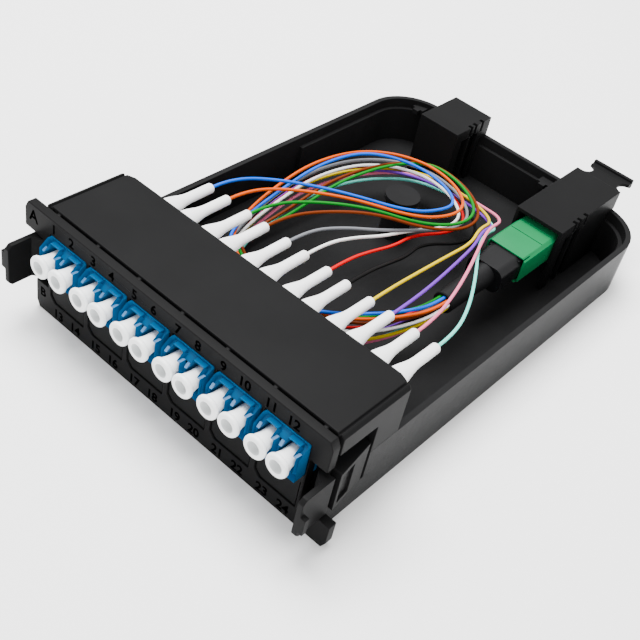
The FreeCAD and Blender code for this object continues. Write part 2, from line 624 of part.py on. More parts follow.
def dust_cap(port):
    """Round cap with a dimpled flange and a stem in its port."""
    body = new_body(f"dust_cap_{port + 1:02d}", port_side(port), "port_level")
    pad(body, "stem", "XZ", "cap_flange_thickness - cap_reach", "cap_insert + cap_reach - cap_flange_thickness",
        [octagon("0", "0", "cap_stem")])
    pad(body, "flange", "XZ", "-cap_reach", "cap_flange_thickness", [("0", "0", "cap_flange")])
    pocket(body, "dimple", "XZ", "-cap_reach - 1", "1 + cap_dimple_depth", [octagon("0", "0", "cap_dimple")])
    return body


def lc_plug(port):
    """LC plug with its latch and its flared boot, in the rear of its port."""
    body = new_body(f"lc_plug_{port + 1:02d}", port_side(port), "port_level")
    half = "plug_square / 2"
    pad(body, "housing", "XZ", "plug_front", "plug_rear - plug_front", [centred("plug_square", f"-{half}", half)])
    pad(body, "boot_neck_pad", "XZ", "boot_shoulder", "boot_tip - boot_shoulder",
        [octagon("0", "0", "boot_neck")])
    pad(body, "boot_root", "XZ", "plug_rear", "boot_collar - plug_rear", [octagon("0", "0", "boot_base")])
    flare = pad(body, "boot_flare", "XZ", "boot_collar", "boot_shoulder - boot_collar",
                [octagon("0", "0", "boot_base")])
    flare.setExpression("TaperAngle", ref("atan((boot_neck - boot_base) / 2 / (boot_shoulder - boot_collar))"))
    rest = "adapter_rear"
    pad(body, "latch", "YZ", "-plug_latch_width / 2", "plug_latch_width",
        [[("plug_front + 1", f"{half} - 0.3"), ("plug_front + 3", f"{half} - 0.3"),
          ("plug_front + 3", f"{half} + 0.2"), (rest, f"{half} + 0.4"), ("plug_rear", f"{half} + 1.4"),
          ("plug_rear", f"{half} + 1.4 + plug_latch_thickness"),
          (rest, f"{half} + 0.4 + plug_latch_thickness"), ("plug_front + 1", f"{half} + plug_latch_thickness")]])
    return body


def side_latch(label, sign):
    """Latch lever: finger tab, rail slot, catch, spine and barrel; sign is its side."""
    right = sign == ""
    body = new_body(label, level="latch_low" if right else "left_latch_low")
    wall_side = "body_width / 2"
    tab_in = f"{wall_side} - tab_offset"
    tab_out = f"{tab_in} + latch_plate"
    spine_in = f"{wall_side} - spine_inset"
    spine_out = f"{spine_in} + latch_plate"
    pivot = f"{wall_side} - pivot_inset"
    catch_front = "tab_rear + rail_slot"
    corners = [(tab_in, "tab_front"), (tab_out, "tab_front"), (tab_out, "tab_rear"), (spine_out, "tab_rear"),
               (spine_out, catch_front), (f"{wall_side} + catch_proud", catch_front), (wall_side, "catch_rear"),
               (spine_out, "catch_rear"), (f"{pivot} + barrel_diameter / 2", "catch_rear + pin_diameter / 4"),
               (f"{pivot} + barrel_diameter / 2", "pivot_rear"),
               (pivot, "pivot_rear"), (spine_in, "catch_rear - latch_plate"),
               (spine_in, "faceplate_thickness / 4"), (tab_in, "-latch_plate")]
    outline = [(f"{sign}({across})", along) for across, along in corners]
    pad(body, "lever", "XY", "0", "latch_height", [outline])
    for name, low in (("low", "0"), ("high", "latch_height")):
        inward = "+" if low == "0" else "-"
        pocket(body, f"{name}_tab_corner", "YZ", "-body_width", "2 * body_width",
               [[("tab_front - 1", f"{low} {inward} (-1)"), ("tab_front + tab_corner", f"{low} {inward} (-1)"),
                 ("tab_front + tab_corner", low), ("tab_front", f"{low} {inward} tab_corner"),
                 ("tab_front - 1", f"{low} {inward} tab_corner")]])
    ridge = "tab_ridge_low" if right else "latch_height - tab_ridge_low - tab_ridge_height"
    pad(body, "tab_ridge_pad", "XY", ridge, "tab_ridge_height",
        [[(f"{sign}({across})", along) for across, along in
          ((f"{tab_in} + latch_plate / 2", "tab_front"), (f"{tab_out} + tab_ridge", "tab_front"),
           (f"{tab_out} + tab_ridge", "tab_front + latch_plate"),
           (f"{tab_in} + latch_plate / 2", "tab_front + latch_plate"))]])
    centre = (f"{sign}({pivot})", "pivot_rear")
    pad(body, "barrel", "XY", "0", "latch_height", [(*centre, "barrel_diameter")])
    pocket(body, "pin_hole", "XY", "-1", "latch_height + 2", [(*centre, "pin_diameter + 2 * pin_clearance")])
    recess = [(f"{wall_side} + catch_proud * 0.82 - catch_pocket", f"{catch_front} + latch_plate"),
              (f"{wall_side} + 2 * catch_proud", f"{catch_front} + latch_plate"),
              (f"{wall_side} + 2 * catch_proud", f"{catch_front} + 4 * latch_plate"),
              (f"{wall_side} + catch_proud * 0.45 - catch_pocket", f"{catch_front} + 4 * latch_plate")]
    pocket(body, "catch_recess", "XY", "latch_plate", "latch_height - 2 * latch_plate",
           [[(f"{sign}({across})", along) for across, along in recess]])
    return body


def mpo_adapter():
    """Rear adapter: a rectangular tube through the tray's rear wall."""
    body = new_body("mpo_adapter", "mpo_side", "mpo_level")
    pad(body, "tube", "XZ", "mpo_front", "mpo_rear - mpo_front",
        [centred("mpo_width", "-mpo_height / 2", "mpo_height / 2"),
         centred("mpo_bore_width", "-mpo_bore_height / 2", "mpo_bore_height / 2")])
    return body


def mpo_coupling():
    """Green sliding sleeve of the MPO plug, with its two finger grooves."""
    body = new_body("mpo_coupling", "mpo_side", "mpo_level")
    across, up, cut = "coupling_width / 2", "coupling_height / 2", "coupling_chamfer"
    length = "mpo_front - coupling_front"
    pad(body, "sleeve", "XZ", "coupling_front", length,
        [[(f"{cut} - {across}", f"-{up}"), (f"{across} - {cut}", f"-{up}"), (across, f"{cut} - {up}"),
          (across, f"{up} - {cut}"), (f"{across} - {cut}", up), (f"{cut} - {across}", up),
          (f"-{across}", f"{up} - {cut}"), (f"-{across}", f"{cut} - {up}")],
         centred("mpo_bore_width - 2 * mpo_clearance", "mpo_clearance - mpo_bore_height / 2",
                 "mpo_bore_height / 2 - mpo_clearance")])
    pocket(body, "front_recess", "XZ", "coupling_front - 1", "coupling_travel + 1",
           [centred("collar_width + 2 * mpo_clearance", "-collar_height / 2 - mpo_clearance",
                    "collar_height / 2 + mpo_clearance")])
    groove = ("coupling_front + 0.72 * (mpo_front - coupling_front)", "0.5")
    for name, low in (("upper", up + " - 0.3"), ("lower", f"-{up} - 0.7")):
        pocket(body, f"{name}_groove", "XY", low, "1",
               [centred("2 * coupling_width", groove[0], f"{groove[0]} + {groove[1]}")])
    return body


def mpo_plug():
    """Inner housing and rounded collar of the MPO plug."""
    body = new_body("mpo_plug", "mpo_side", "mpo_level")
    pad(body, "collar", "XZ", "collar_front", "coupling_front - collar_front",
        [centred("collar_width", "-collar_height / 2", "collar_height / 2")])
    dress(body, "PartDesign::Fillet", "collar_corners", "collar_round", lambda e: runs_along(e, Y_AXIS))
    pad(body, "housing", "XZ", "coupling_front - 1", "mpo_plug_end - coupling_front + 1",
        [centred("mpo_bore_width - 4 * mpo_clearance", "2 * mpo_clearance - mpo_bore_height / 2",
                 "mpo_bore_height / 2 - 2 * mpo_clearance")])
    pocket(body, "ferrule_seat", "XZ", "mpo_plug_end - mt_length + guide_pin_proud", "mt_length",
           [centred("mt_width", "-mt_height / 2", "mt_height / 2")])
    return body


def mt_ferrule():
    """Rectangular ferrule at the end of the MPO plug."""
    body = new_body("mt_ferrule", "mpo_side", "mpo_level")
    holes = [octagon(f"{sign}guide_pin_spacing / 2", "0", "guide_pin_diameter") for sign in ("-", "")]
    pad(body, "ferrule", "XZ", "mpo_plug_end - mt_length + guide_pin_proud", "mt_length",
        [centred("mt_width", "-mt_height / 2", "mt_height / 2")] + holes)
    return body


def guide_pins():
    """The two steel pins of the MT ferrule, as one group."""
    pins = [octagon(f"mpo_side + {sign}guide_pin_spacing / 2", "mpo_level", "guide_pin_diameter")
            for sign in ("-", "")]
    place(extruded("guide_pins", pins, "mpo_plug_end - mt_length + guide_pin_proud",
                   "mt_length + guide_pin_proud"), "guide_pins")


def mpo_boot():
    """Round boot that takes the twelve fibres into the MPO plug."""
    body = new_body("mpo_boot", "mpo_side", "mpo_level")
    pad(body, "mouth", "XZ", "mpo_boot_front", "mpo_boot_step - mpo_boot_front", [("0", "0", "mpo_boot_end")])
    pad(body, "root", "XZ", "mpo_boot_step", "collar_front - mpo_boot_step", [("0", "0", "mpo_boot_base")])
    pocket(body, "bore", "XZ", "mpo_boot_front - 1", "mpo_boot_bottom - mpo_boot_front + 1",
           [("0", "0", "mpo_boot_bore")])
    return body


def hood(label, side, width, front, open_front):
    """Hood over a rear bay: roof, walls, a stepped right side, notched roof edge."""
    body = new_body(label, side)
    height = "hood_top - floor_thickness"
    pad(body, "block", "XY", "floor_thickness", height, [centred(width, front, "hood_rear")])
    inner_front = f"{front} - 1" if open_front else f"{front} + hood_wall"
    pocket(body, "bay", "XY", "floor_thickness - 1", f"{height} - hood_roof + 1",
           [centred(f"{width} - 2 * hood_wall", inner_front, "hood_rear + 1")])
    pad(body, "overhang", "XY", "tray_height + hood_clearance", "hood_top - tray_height - hood_clearance",
        [centred(width, "hood_rear - hood_wall", "tray_depth")])
    slots = [rectangle(f"{front} + {first} * hood_wall", f"{front} + {last} * hood_wall",
                       "floor_thickness - 1", "hood_top - 3 * hood_roof") for first, last in ((4, 8), (9, 13))]
    pocket(body, "side_slots", "YZ", f"{width} / 2 - 2 * hood_wall", "3 * hood_wall", slots)
    notches = [rectangle(f"{width} / 2 - hood_notch", width, f"{front} + {step} * hood_notch",
                         f"{front} + {step + 1} * hood_notch") for step in (6, 8, 11)]
    pocket(body, "roof_notches", "XY", "hood_top - 3 * hood_roof", "4 * hood_roof", notches)
    return body


def mpo_hood():
    """Hood over the rear port, with a passage for the adapter and the release tab."""
    body = hood("mpo_hood", "mpo_side", "(mpo_width + 2 * hood_wall + 0.2)", "hood_front", True)
    pocket(body, "rear_passage", "XZ", "hood_rear - 2", "10",
           [centred("mpo_width + 2 * mpo_clearance", "0", "mpo_level + mpo_height / 2 + mpo_clearance")])
    pocket(body, "tab_passage", "XZ", "hood_rear - 2", "10",
           [centred("tab_blade_width + 0.4", "mpo_level + mpo_height / 2", "hood_top - hood_roof")])
    return body


def rear_release_tab():
    """Sliding tab: a blade under the hood's roof and a waisted bar behind it."""
    body = new_body("rear_release_tab", "mpo_side", "tab_level")
    pad(body, "blade", "XY", "0", "tab_thickness",
        [centred("tab_blade_width", "tab_blade_front", "tab_wing_front + 1")])
    pad(body, "head", "XY", "0", "tab_thickness",
        [centred("tab_head_width", "tab_blade_front - tab_head_length", "tab_blade_front")])
    pad(body, "wing", "XY", "0", "tab_thickness",
        [centred("tab_bar_width", "tab_wing_front", "tab_bar_rear")])
    middle = "(tab_wing_front + tab_bar_rear - tab_bar_lip) / 2"
    arcs = [(f"{sign}(tab_waist / 2 + tab_arc)", middle, "2 * tab_arc") for sign in ("-", "")]
    pocket(body, "finger_arcs", "XY", "-1", "tab_thickness + 2", arcs)
    pad(body, "lip", "XY", "tab_thickness / 2 - tab_lip_height / 2", "tab_lip_height",
        [centred("tab_bar_width", "tab_bar_rear - tab_bar_lip", "tab_bar_rear")])
    return body


# The fibres' routes, as points chosen in the working frame. A loop's points are measured
# from the slack post, and each fibre's own reaches stretch them to the right, to the rear
# and to the left. The way back passes under the plugs' boots.
ROW_STEP, PORT_STEP, PORT_HEIGHT, BOOT_TIP, BEND = 13.9, 6.25, 20.4, 49.0, 57.0
POST, BORE, BORE_BOTTOM = (-9.0, 97.5), (26.5, 15.2), 80.0
LOOP = ((12.0, -9.5), (18.0, 0.5), (17.0, 11.5), (9.0, 19.5), (-2.0, 22.0), (-12.0, 17.5),
        (-19.5, 8.5), (-24.0, -2.5), (-26.0, -15.5), (-26.0, -28.5))
REACHES = ((0.80, 0.48, 0.80), (0.93, 0.70, 0.90), (1.12, 0.84, 0.52), (1.20, 0.92, 0.62),
           (1.05, 0.78, 0.90), (0.92, 0.70, 0.84), (1.00, 0.78, 0.88), (1.26, 0.84, 0.96),
           (1.42, 0.97, 0.92), (1.48, 0.90, 0.98), (1.56, 1.08, 0.90), (1.54, 0.98, 0.84))
WAY_BACK = ((-26.0, 46.0), (-15.5, 40.4), (-6.0, 38.4), (3.0, 39.6), (10.2, 43.8), (16.2, 49.6))
STEEP, GENTLE, LATE = (0.8, 0.95), (0.0, 0.06, 0.45, 0.8), (0.0, 0.0, 0.3, 0.8)
DIVING_PORTS, PORTS_OVER_BOOT, PORTS_OVER_COUPLING = range(4, 8), range(8, 12), range(10, 11)
TOP_LOOP, TOP_RETURN, LAYER = 19.0, 14.6, 1.0
OUTER_COUNT, INNER_COUNT = 9, 3
SECTION_SIDES = 6


def bundle_places():
    """Where the fibres lie in the MPO boot's bore, from the highest to the lowest."""
    places = []
    for count, radius, start in ((OUTER_COUNT, 1.72, 90), (INNER_COUNT, 0.62, 150)):
        for step in range(count):
            angle = math.radians(start + 360 / count * step)
            places.append((radius * math.cos(angle), radius * math.sin(angle)))
    return sorted(places, key=lambda place: -place[1] - place[0] / 1000)


def fibre_route(port):
    """The points of one fibre, from its plug's boot round the post into the MPO boot."""
    adapter, half = divmod(port, 2)
    start = (adapter - (ADAPTERS - 1) / 2) * ROW_STEP + (half - 0.5) * PORT_STEP
    right, rear, left = REACHES[port]
    loop_level, return_level = TOP_LOOP - LAYER * port, TOP_RETURN - LAYER * port
    loop = [(POST[0] + x * (right if x > 0 else left), POST[1] + y * (rear if y > 0 else 1)) for x, y in LOOP]
    falls, bow, early, top = STEEP, 1.5, (0, 0), 19.9
    if port in DIVING_PORTS:
        falls, early = (), (0.35, 0.85)
    if port in PORTS_OVER_BOOT:
        falls, bow = GENTLE, 1.35
        loop[0] = (loop[1][0] + 2.8, loop[0][1] + 2)
    if port in PORTS_OVER_COUPLING:
        falls, top = LATE, 21.0
    points = [(start, BOOT_TIP, PORT_HEIGHT), (start, BEND, PORT_HEIGHT)]
    for share, sunk in zip((0.34, 0.68), early):
        height = top + 0.3 - share / 4
        points.append((start + (loop[0][0] - start) * share ** bow, BEND + (loop[0][1] - BEND) * share,
                       height + (loop_level - height) * sunk))
    for step, (x, y) in enumerate(loop):
        fall = falls[step] if step < len(falls) else 1
        points.append((x, y, top + (loop_level - top) * fall))
    points[-1] = (*loop[-1], (loop_level + return_level) / 2)
    points.append((-33 * math.sqrt(left), 57.5, return_level))
    sway = (port % 4 - 1.5) * 1.6
    across, up = bundle_places()[port]
    for step, (x, y) in enumerate(WAY_BACK):
        late = step - len(WAY_BACK) + 2
        points.append((x + (across if late >= 0 else 0), y + sway * (1, 0.5, 0)[max(late + 1, 0)], return_level))
    side, level = BORE[0] + across, BORE[1] + up
    points += [(side - 5.4, 55.8, return_level + (level - return_level) * 0.3),
               (side - 1.4, 61.6, return_level + (level - return_level) * 0.74),
               (side, 67.0, level), (side, 73.0, level),
               (side - 0.07 * across, BORE_BOTTOM, level - 0.07 * up)]
    return [FreeCAD.Vector(*point) for point in points]


def fibre(port):
    """One buffered fibre: a plain tube of straight runs along its route."""
    points = fibre_route(port)
    radius = size("fibre_diameter") / 2
    angles = [2 * math.pi * step / SECTION_SIDES for step in range(SECTION_SIDES + 1)]
    section = Part.makePolygon([points[0] + FreeCAD.Vector(math.cos(a), 0, math.sin(a)) * radius
                                for a in angles])
    path = Part.makePolygon(points)
    tube = doc.addObject("Part::Feature", f"fibre_{port + 1:02d}")
    tube.Shape = path.makePipeShell([section], True, False, 1)
    place(tube, tube.Name)
    print(f"{tube.Name}: {path.Length:.0f} mm, volume {tube.Shape.Volume:.1f} of "
          f"{Part.Face(section).Area * path.Length:.1f} mm3")


def build():
    """Make every sub-part in the order of assembly."""
    base_tray()
    faceplate()
    blank_strip()
    front_cover()
    for adapter in range(ADAPTERS):
        lc_adapter(adapter)
    alignment_sleeves()
    lc_ferrules()
    for port in range(PORTS):
        dust_cap(port)
    for port in range(PORTS):
        lc_plug(port)
    side_latch("latch_right", "")
    side_latch("latch_left", "-")
    mpo_adapter()
    mpo_coupling()
    mpo_plug()
    mt_ferrule()
    guide_pins()
    mpo_boot()
    mpo_hood()
    hood("blank_hood", "blank_hood_side", "blank_hood_width", "blank_hood_front", False)
    rear_release_tab()
    for port in range(PORTS):
        fibre(port)


def check():
    """Stop if an object failed or a sub-part has no sound shape."""
    doc.recompute()
    for thing in doc.Objects:
        if "Invalid" in thing.State or "Error" in thing.State:
            raise RuntimeError(f"{thing.Label} failed: {thing.State}")
    for thing in subparts:
        if thing.Shape.isNull() or not thing.Shape.isValid():
            raise RuntimeError(f"{thing.Label} has no valid shape")


def write():
    """Write each sub-part to its own STEP file."""
    os.makedirs("parts", exist_ok=True)
    for thing in subparts:
        thing.Shape.exportStep(f"parts/{thing.Label}.step")
        print(f"{thing.Label}: {len(thing.Shape.Solids)} solid(s), {thing.Shape.Volume:.1f} mm3")


build()
check()
write()
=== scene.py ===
"""Fibre cassette on a pale table, dressed for a studio picture.

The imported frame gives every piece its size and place. This script adds soft edges,
finishes, the round caps, boots and plugs, the twelve fibres and the port numbers.
"""
from __future__ import annotations

import logging
import math
from dataclasses import dataclass
from enum import Enum
from typing import Callable, Iterable, Sequence

import bpy
from mathutils import Matrix, Vector

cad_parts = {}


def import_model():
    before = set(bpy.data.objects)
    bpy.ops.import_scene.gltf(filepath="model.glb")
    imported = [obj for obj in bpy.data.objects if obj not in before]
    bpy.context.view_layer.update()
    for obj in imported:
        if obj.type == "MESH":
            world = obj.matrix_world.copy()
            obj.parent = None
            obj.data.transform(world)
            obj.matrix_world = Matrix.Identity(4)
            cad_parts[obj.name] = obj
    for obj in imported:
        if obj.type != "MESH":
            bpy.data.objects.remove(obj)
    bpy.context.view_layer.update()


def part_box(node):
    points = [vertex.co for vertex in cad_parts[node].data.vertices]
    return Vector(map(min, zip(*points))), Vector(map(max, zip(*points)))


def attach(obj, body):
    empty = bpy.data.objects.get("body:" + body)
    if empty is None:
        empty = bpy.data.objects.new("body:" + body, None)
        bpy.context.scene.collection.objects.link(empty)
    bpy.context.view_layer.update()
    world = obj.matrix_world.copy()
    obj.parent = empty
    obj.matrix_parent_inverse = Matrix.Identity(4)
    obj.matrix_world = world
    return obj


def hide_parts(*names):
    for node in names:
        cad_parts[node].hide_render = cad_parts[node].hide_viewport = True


LOG = logging.getLogger("cassette")
MM = 0.001
FRAME_SHIFT = Vector((0.0, -72.75 * MM, 0.0))
UP = Vector((0.0, 0.0, 1.0))
PORTS = 12
ADAPTER_PITCH = 13.9
PORT_PITCH = 6.25
Point = tuple[float, float, float]
Colour = tuple[float, float, float]
Profile = tuple[tuple[float, float], ...]
Steps = Sequence[tuple[float, float, float, float]]


def port_side(port: int) -> float:
    """How far right of the cassette's middle a port stands, in millimetres.

    Args:
        port: The port, counted from 0.

    Returns:
        The distance, which is negative to the left.
    """
    adapter, half = divmod(port, 2)
    return (adapter - (PORTS / 2 - 1) / 2) * ADAPTER_PITCH + (half - 0.5) * PORT_PITCH


class Body(Enum):
    """The rigid bodies that pieces ride on."""

    CASSETTE = "cassette"
    COVER = "cover"
    LATCH_RIGHT = "latch_right_lever"
    LATCH_LEFT = "latch_left_lever"
    RELEASE_TAB = "release_tab"
    COUPLING = "coupling"


class Value:
    """A shader number whose arithmetic adds Math nodes."""

    def __init__(self, finish: "Finish", link: bpy.types.NodeSocket) -> None:
        """Wrap a socket of a finish's node tree."""
        self.finish = finish
        self.link = link

    def _math(self, operation: str, *values: object) -> "Value":
        """One Math node on the given values."""
        return self.finish.node("ShaderNodeMath", {"operation": operation}, dict(enumerate(values)))

    def __add__(self, other: object) -> "Value":
        """Sum of two values."""
        return self._math("ADD", self, other)

    __radd__ = __add__

    def __mul__(self, other: object) -> "Value":
        """Product of two values."""
        return self._math("MULTIPLY", self, other)

    __rmul__ = __mul__

    def __sub__(self, other: object) -> "Value":
        """Difference of two values."""
        return self._math("SUBTRACT", self, other)

    def __rsub__(self, other: object) -> "Value":
        """Difference the other way round."""
        return self._math("SUBTRACT", other, self)


class Finish:
    """A procedural material on Object coordinates."""

    TINT_FROM = 0.25
    TINT_TO = 0.75

    def __init__(self, name: str) -> None:
        """Make an empty material with a surface shader.

        Args:
            name: The material's name.
        """
        self.material = bpy.data.materials.new(name)
        self.material.use_nodes = True
        self.tree = self.material.node_tree
        self.shader = next(n for n in self.tree.nodes if n.type == "BSDF_PRINCIPLED")
        self.place = self.node("ShaderNodeTexCoord", output="Object")

    def node(
        self,
        kind: str,
        settings: dict[str, object] | None = None,
        inputs: dict[object, object] | None = None,
        output: int | str = 0,
    ) -> Value:
        """Add one node.

        Args:
            kind: The node's type.
            settings: Properties that are set before the sockets.
            inputs: Values or links by socket name or number.
            output: Which output is returned.

        Returns:
            The chosen output.
        """
        made = self.tree.nodes.new(kind)
        for key, setting in (settings or {}).items():
            if key == "stops":
                self._stops(made, setting)
            else:
                setattr(made, key, setting)
        for key, value in (inputs or {}).items():
            if isinstance(value, Value):
                self.tree.links.new(value.link, made.inputs[key])
            else:
                made.inputs[key].default_value = value
        return Value(self, made.outputs[output])

    @staticmethod
    def _stops(made: bpy.types.Node, stops: Iterable[tuple[float, tuple[float, ...]]]) -> None:
        """Set the stops of a colour ramp."""
        elements = made.color_ramp.elements
        for number, (place, colour) in enumerate(stops):
            element = elements[number] if number < len(elements) else elements.new(place)
            element.position = place
            element.color = colour

    def set(self, **sockets: object) -> None:
        """Set or link the surface shader's sockets; underscores stand for spaces."""
        for key, value in sockets.items():
            socket = self.shader.inputs[key.replace("_", " ").title().replace("Ior", "IOR")]
            if isinstance(value, Value):
                self.tree.links.new(value.link, socket)
            else:
                socket.default_value = value

    def noise(self, scale: float, detail: float = 3.0, stretch: Point = (1.0, 1.0, 1.0)) -> Value:
        """A noise pattern fixed to the piece.

        Args:
            scale: Cells per metre.
            detail: Layers of finer noise.
            stretch: How the pattern is stretched along each axis.

        Returns:
            The pattern's strength, from 0 to 1.
        """
        spot = self.node("ShaderNodeMapping", None, {"Vector": self.place, "Scale": stretch})
        return self.node("ShaderNodeTexNoise", None, {"Vector": spot, "Scale": scale, "Detail": detail})

    def bump(self, height: Value, strength: float, distance: float) -> None:
        """Raise the surface by a pattern.

        Args:
            height: The pattern.
            strength: How strongly it shows.
            distance: Height of the pattern in metres.
        """
        normal = self.node("ShaderNodeBump", None,
                           {"Height": height, "Strength": strength, "Distance": distance}, "Normal")
        self.set(normal=normal)

    def tint(self, mask: Value, low: Colour, high: Colour) -> Value:
        """Mix two colours by a pattern.

        Args:
            mask: The pattern.
            low: Colour where it is 0.
            high: Colour where it is 1.

        Returns:
            The mixed colour.
        """
        stops = ((self.TINT_FROM, (*low, 1.0)), (self.TINT_TO, (*high, 1.0)))
        return self.node("ShaderNodeValToRGB", {"stops": stops}, {"Fac": mask}, "Color")


@dataclass(frozen=True)
class Moulding:
    """How a moulded plastic looks.

    Attributes:
        name: The material's name.
        colour: Its mean colour.
        roughness: Its mean roughness.
        shift: How much lighter or darker its clouds are.
        grain: Cells of its grain per metre.
        relief: Height of its grain in metres.
        coat: Weight of a clear coat.
        shine: How strongly it mirrors.
        through: How much light goes into it.
        cloud: Cells of its clouds per metre.
        cloud_gloss: How much the clouds change its roughness.
        grain_gloss: How much the grain changes its roughness.
        grain_rise: How strongly the grain shows.
        reach: How far light of each colour goes into it, in metres.
    """

    name: str
    colour: Colour
    roughness: float
    shift: float = 0.12
    grain: float = 9000.0
    relief: float = 0.00002
    coat: float = 0.0
    shine: float = 0.5
    through: float = 0.0
    cloud: float = 60.0
    cloud_gloss: float = 0.12
    grain_gloss: float = 0.10
    grain_rise: float = 0.35
    reach: Point = (0.0015, 0.0014, 0.0012)

    def build(self) -> bpy.types.Material:
        """Make the material: slight mottling, a fine moulded grain, uneven gloss."""
        finish = Finish(self.name)
        cloud = finish.noise(self.cloud, detail=4.0)
        grain = finish.noise(self.grain, detail=2.0)
        low = tuple(c * (1 - self.shift) for c in self.colour)
        high = tuple(min(1.0, c * (1 + self.shift)) for c in self.colour)
        finish.set(
            base_color=finish.tint(cloud, low, high),
            roughness=(cloud - 0.5) * self.cloud_gloss + (grain - 0.5) * self.grain_gloss + self.roughness,
            coat_weight=self.coat,
            specular_ior_level=self.shine,
        )
        if self.through:
            finish.shader.inputs["Subsurface Weight"].default_value = self.through
            finish.shader.inputs["Subsurface Radius"].default_value = self.reach
        finish.bump(grain, self.grain_rise, self.relief)
        return finish.material


@dataclass(frozen=True)
class GroundSteel:
    """Bright steel, ground lengthwise.

    Attributes:
        colour: Its colour.
        roughness: Its least roughness.
        unevenness: How much rougher its lines are.
        lines: Lines per metre.
        stretch: How the lines are drawn out along each axis.
        relief: Height of the lines in metres.
        rise: How strongly they show.
    """

    colour: Colour = (0.62, 0.62, 0.64)
    roughness: float = 0.15
    unevenness: float = 0.2
    lines: float = 4000.0
    stretch: Point = (1.0, 0.05, 1.0)
    relief: float = 0.000005
    rise: float = 0.2

    def build(self) -> bpy.types.Material:
        """Make the material: plain metal with fine lines along it."""
        finish = Finish("ground_steel")
        lines = finish.noise(self.lines, detail=2.0, stretch=self.stretch)
        finish.set(base_color=(*self.colour, 1.0), metallic=1.0,
                   roughness=lines * self.unevenness + self.roughness)
        finish.bump(lines, self.rise, self.relief)
        return finish.material


@dataclass(frozen=True)
class TablePaper:
    """Plain matt paper."""

    colour: Colour = (0.97, 0.97, 0.97)
    roughness: float = 0.9

    def build(self) -> bpy.types.Material:
        """Make the material."""
        finish = Finish("table_paper")
        finish.set(base_color=(*self.colour, 1.0), roughness=self.roughness)
        return finish.material


class Palette:
    """Every finish of the cassette, made once."""

    PLUG_BLACK: Colour = (0.004, 0.004, 0.0045)
    JACKETS: tuple[tuple[str, Colour], ...] = (
        ("blue", (0.0, 0.095, 0.60)),
        ("orange", (0.60, 0.075, 0.0)),
        ("green", (0.0, 0.17, 0.012)),
        ("brown", (0.13, 0.022, 0.003)),
        ("slate", (0.16, 0.165, 0.18)),
        ("white", (0.86, 0.86, 0.84)),
        ("red", (0.55, 0.0, 0.004)),
        ("black", (0.004, 0.004, 0.004)),
        ("yellow", (0.58, 0.42, 0.0)),
        ("violet", (0.15, 0.035, 0.40)),
        ("rose", (0.70, 0.15, 0.27)),
        ("aqua", (0.14, 0.66, 0.55)),
    )

    def __init__(self) -> None:
        """Build all the materials."""
        self.shell = Moulding("shell_plastic", (0.0072, 0.0072, 0.0074), 0.42, shine=0.03).build()
        self.tray = Moulding("tray_plastic", (0.0115, 0.0115, 0.0118), 0.27, shine=0.02).build()
        self.adapter = Moulding("adapter_plastic", (0.0, 0.098, 0.25), 0.34, relief=0.00001,
                                shine=0.2).build()
        # Grey for the inside of a cap's dish: painted shade of the recess, not the cap's own colour.
        self.dish = Moulding("cap_dish_painted_shade", (0.55, 0.57, 0.57), 0.45, shift=0.02).build()
        self.cap = Moulding("cap_plastic", (0.96, 0.98, 0.98), 0.36, shift=0.01, through=0.08).build()
        self.plug = Moulding("plug_plastic", (0.97, 0.97, 0.97), 0.38, shift=0.01, through=0.08).build()
        self.coupling = Moulding("coupling_plastic", (0.004, 0.165, 0.055), 0.36, shine=0.05).build()
        self.collar = Moulding("collar_plastic", self.PLUG_BLACK, 0.34, shine=0.2).build()
        self.rubber = Moulding("boot_rubber", self.PLUG_BLACK, 0.58, grain=6000.0, shine=0.15).build()
        self.ceramic = Moulding("ferrule_ceramic", (0.85, 0.83, 0.76), 0.14, shift=0.03, coat=0.4).build()
        # Near-black and unreflecting: painted shade that stands for the shadow in the sunk port numbers.
        self.marking = Moulding("lettering_painted_shade", (0.0005, 0.0005, 0.0005), 0.9, shine=0.0).build()
        self.steel = GroundSteel().build()
        self.jackets = [Moulding(f"jacket_{name}", colour, 0.36, shift=0.04, grain=5000.0,
                                 relief=0.000006, shine=0.06).build() for name, colour in self.JACKETS]


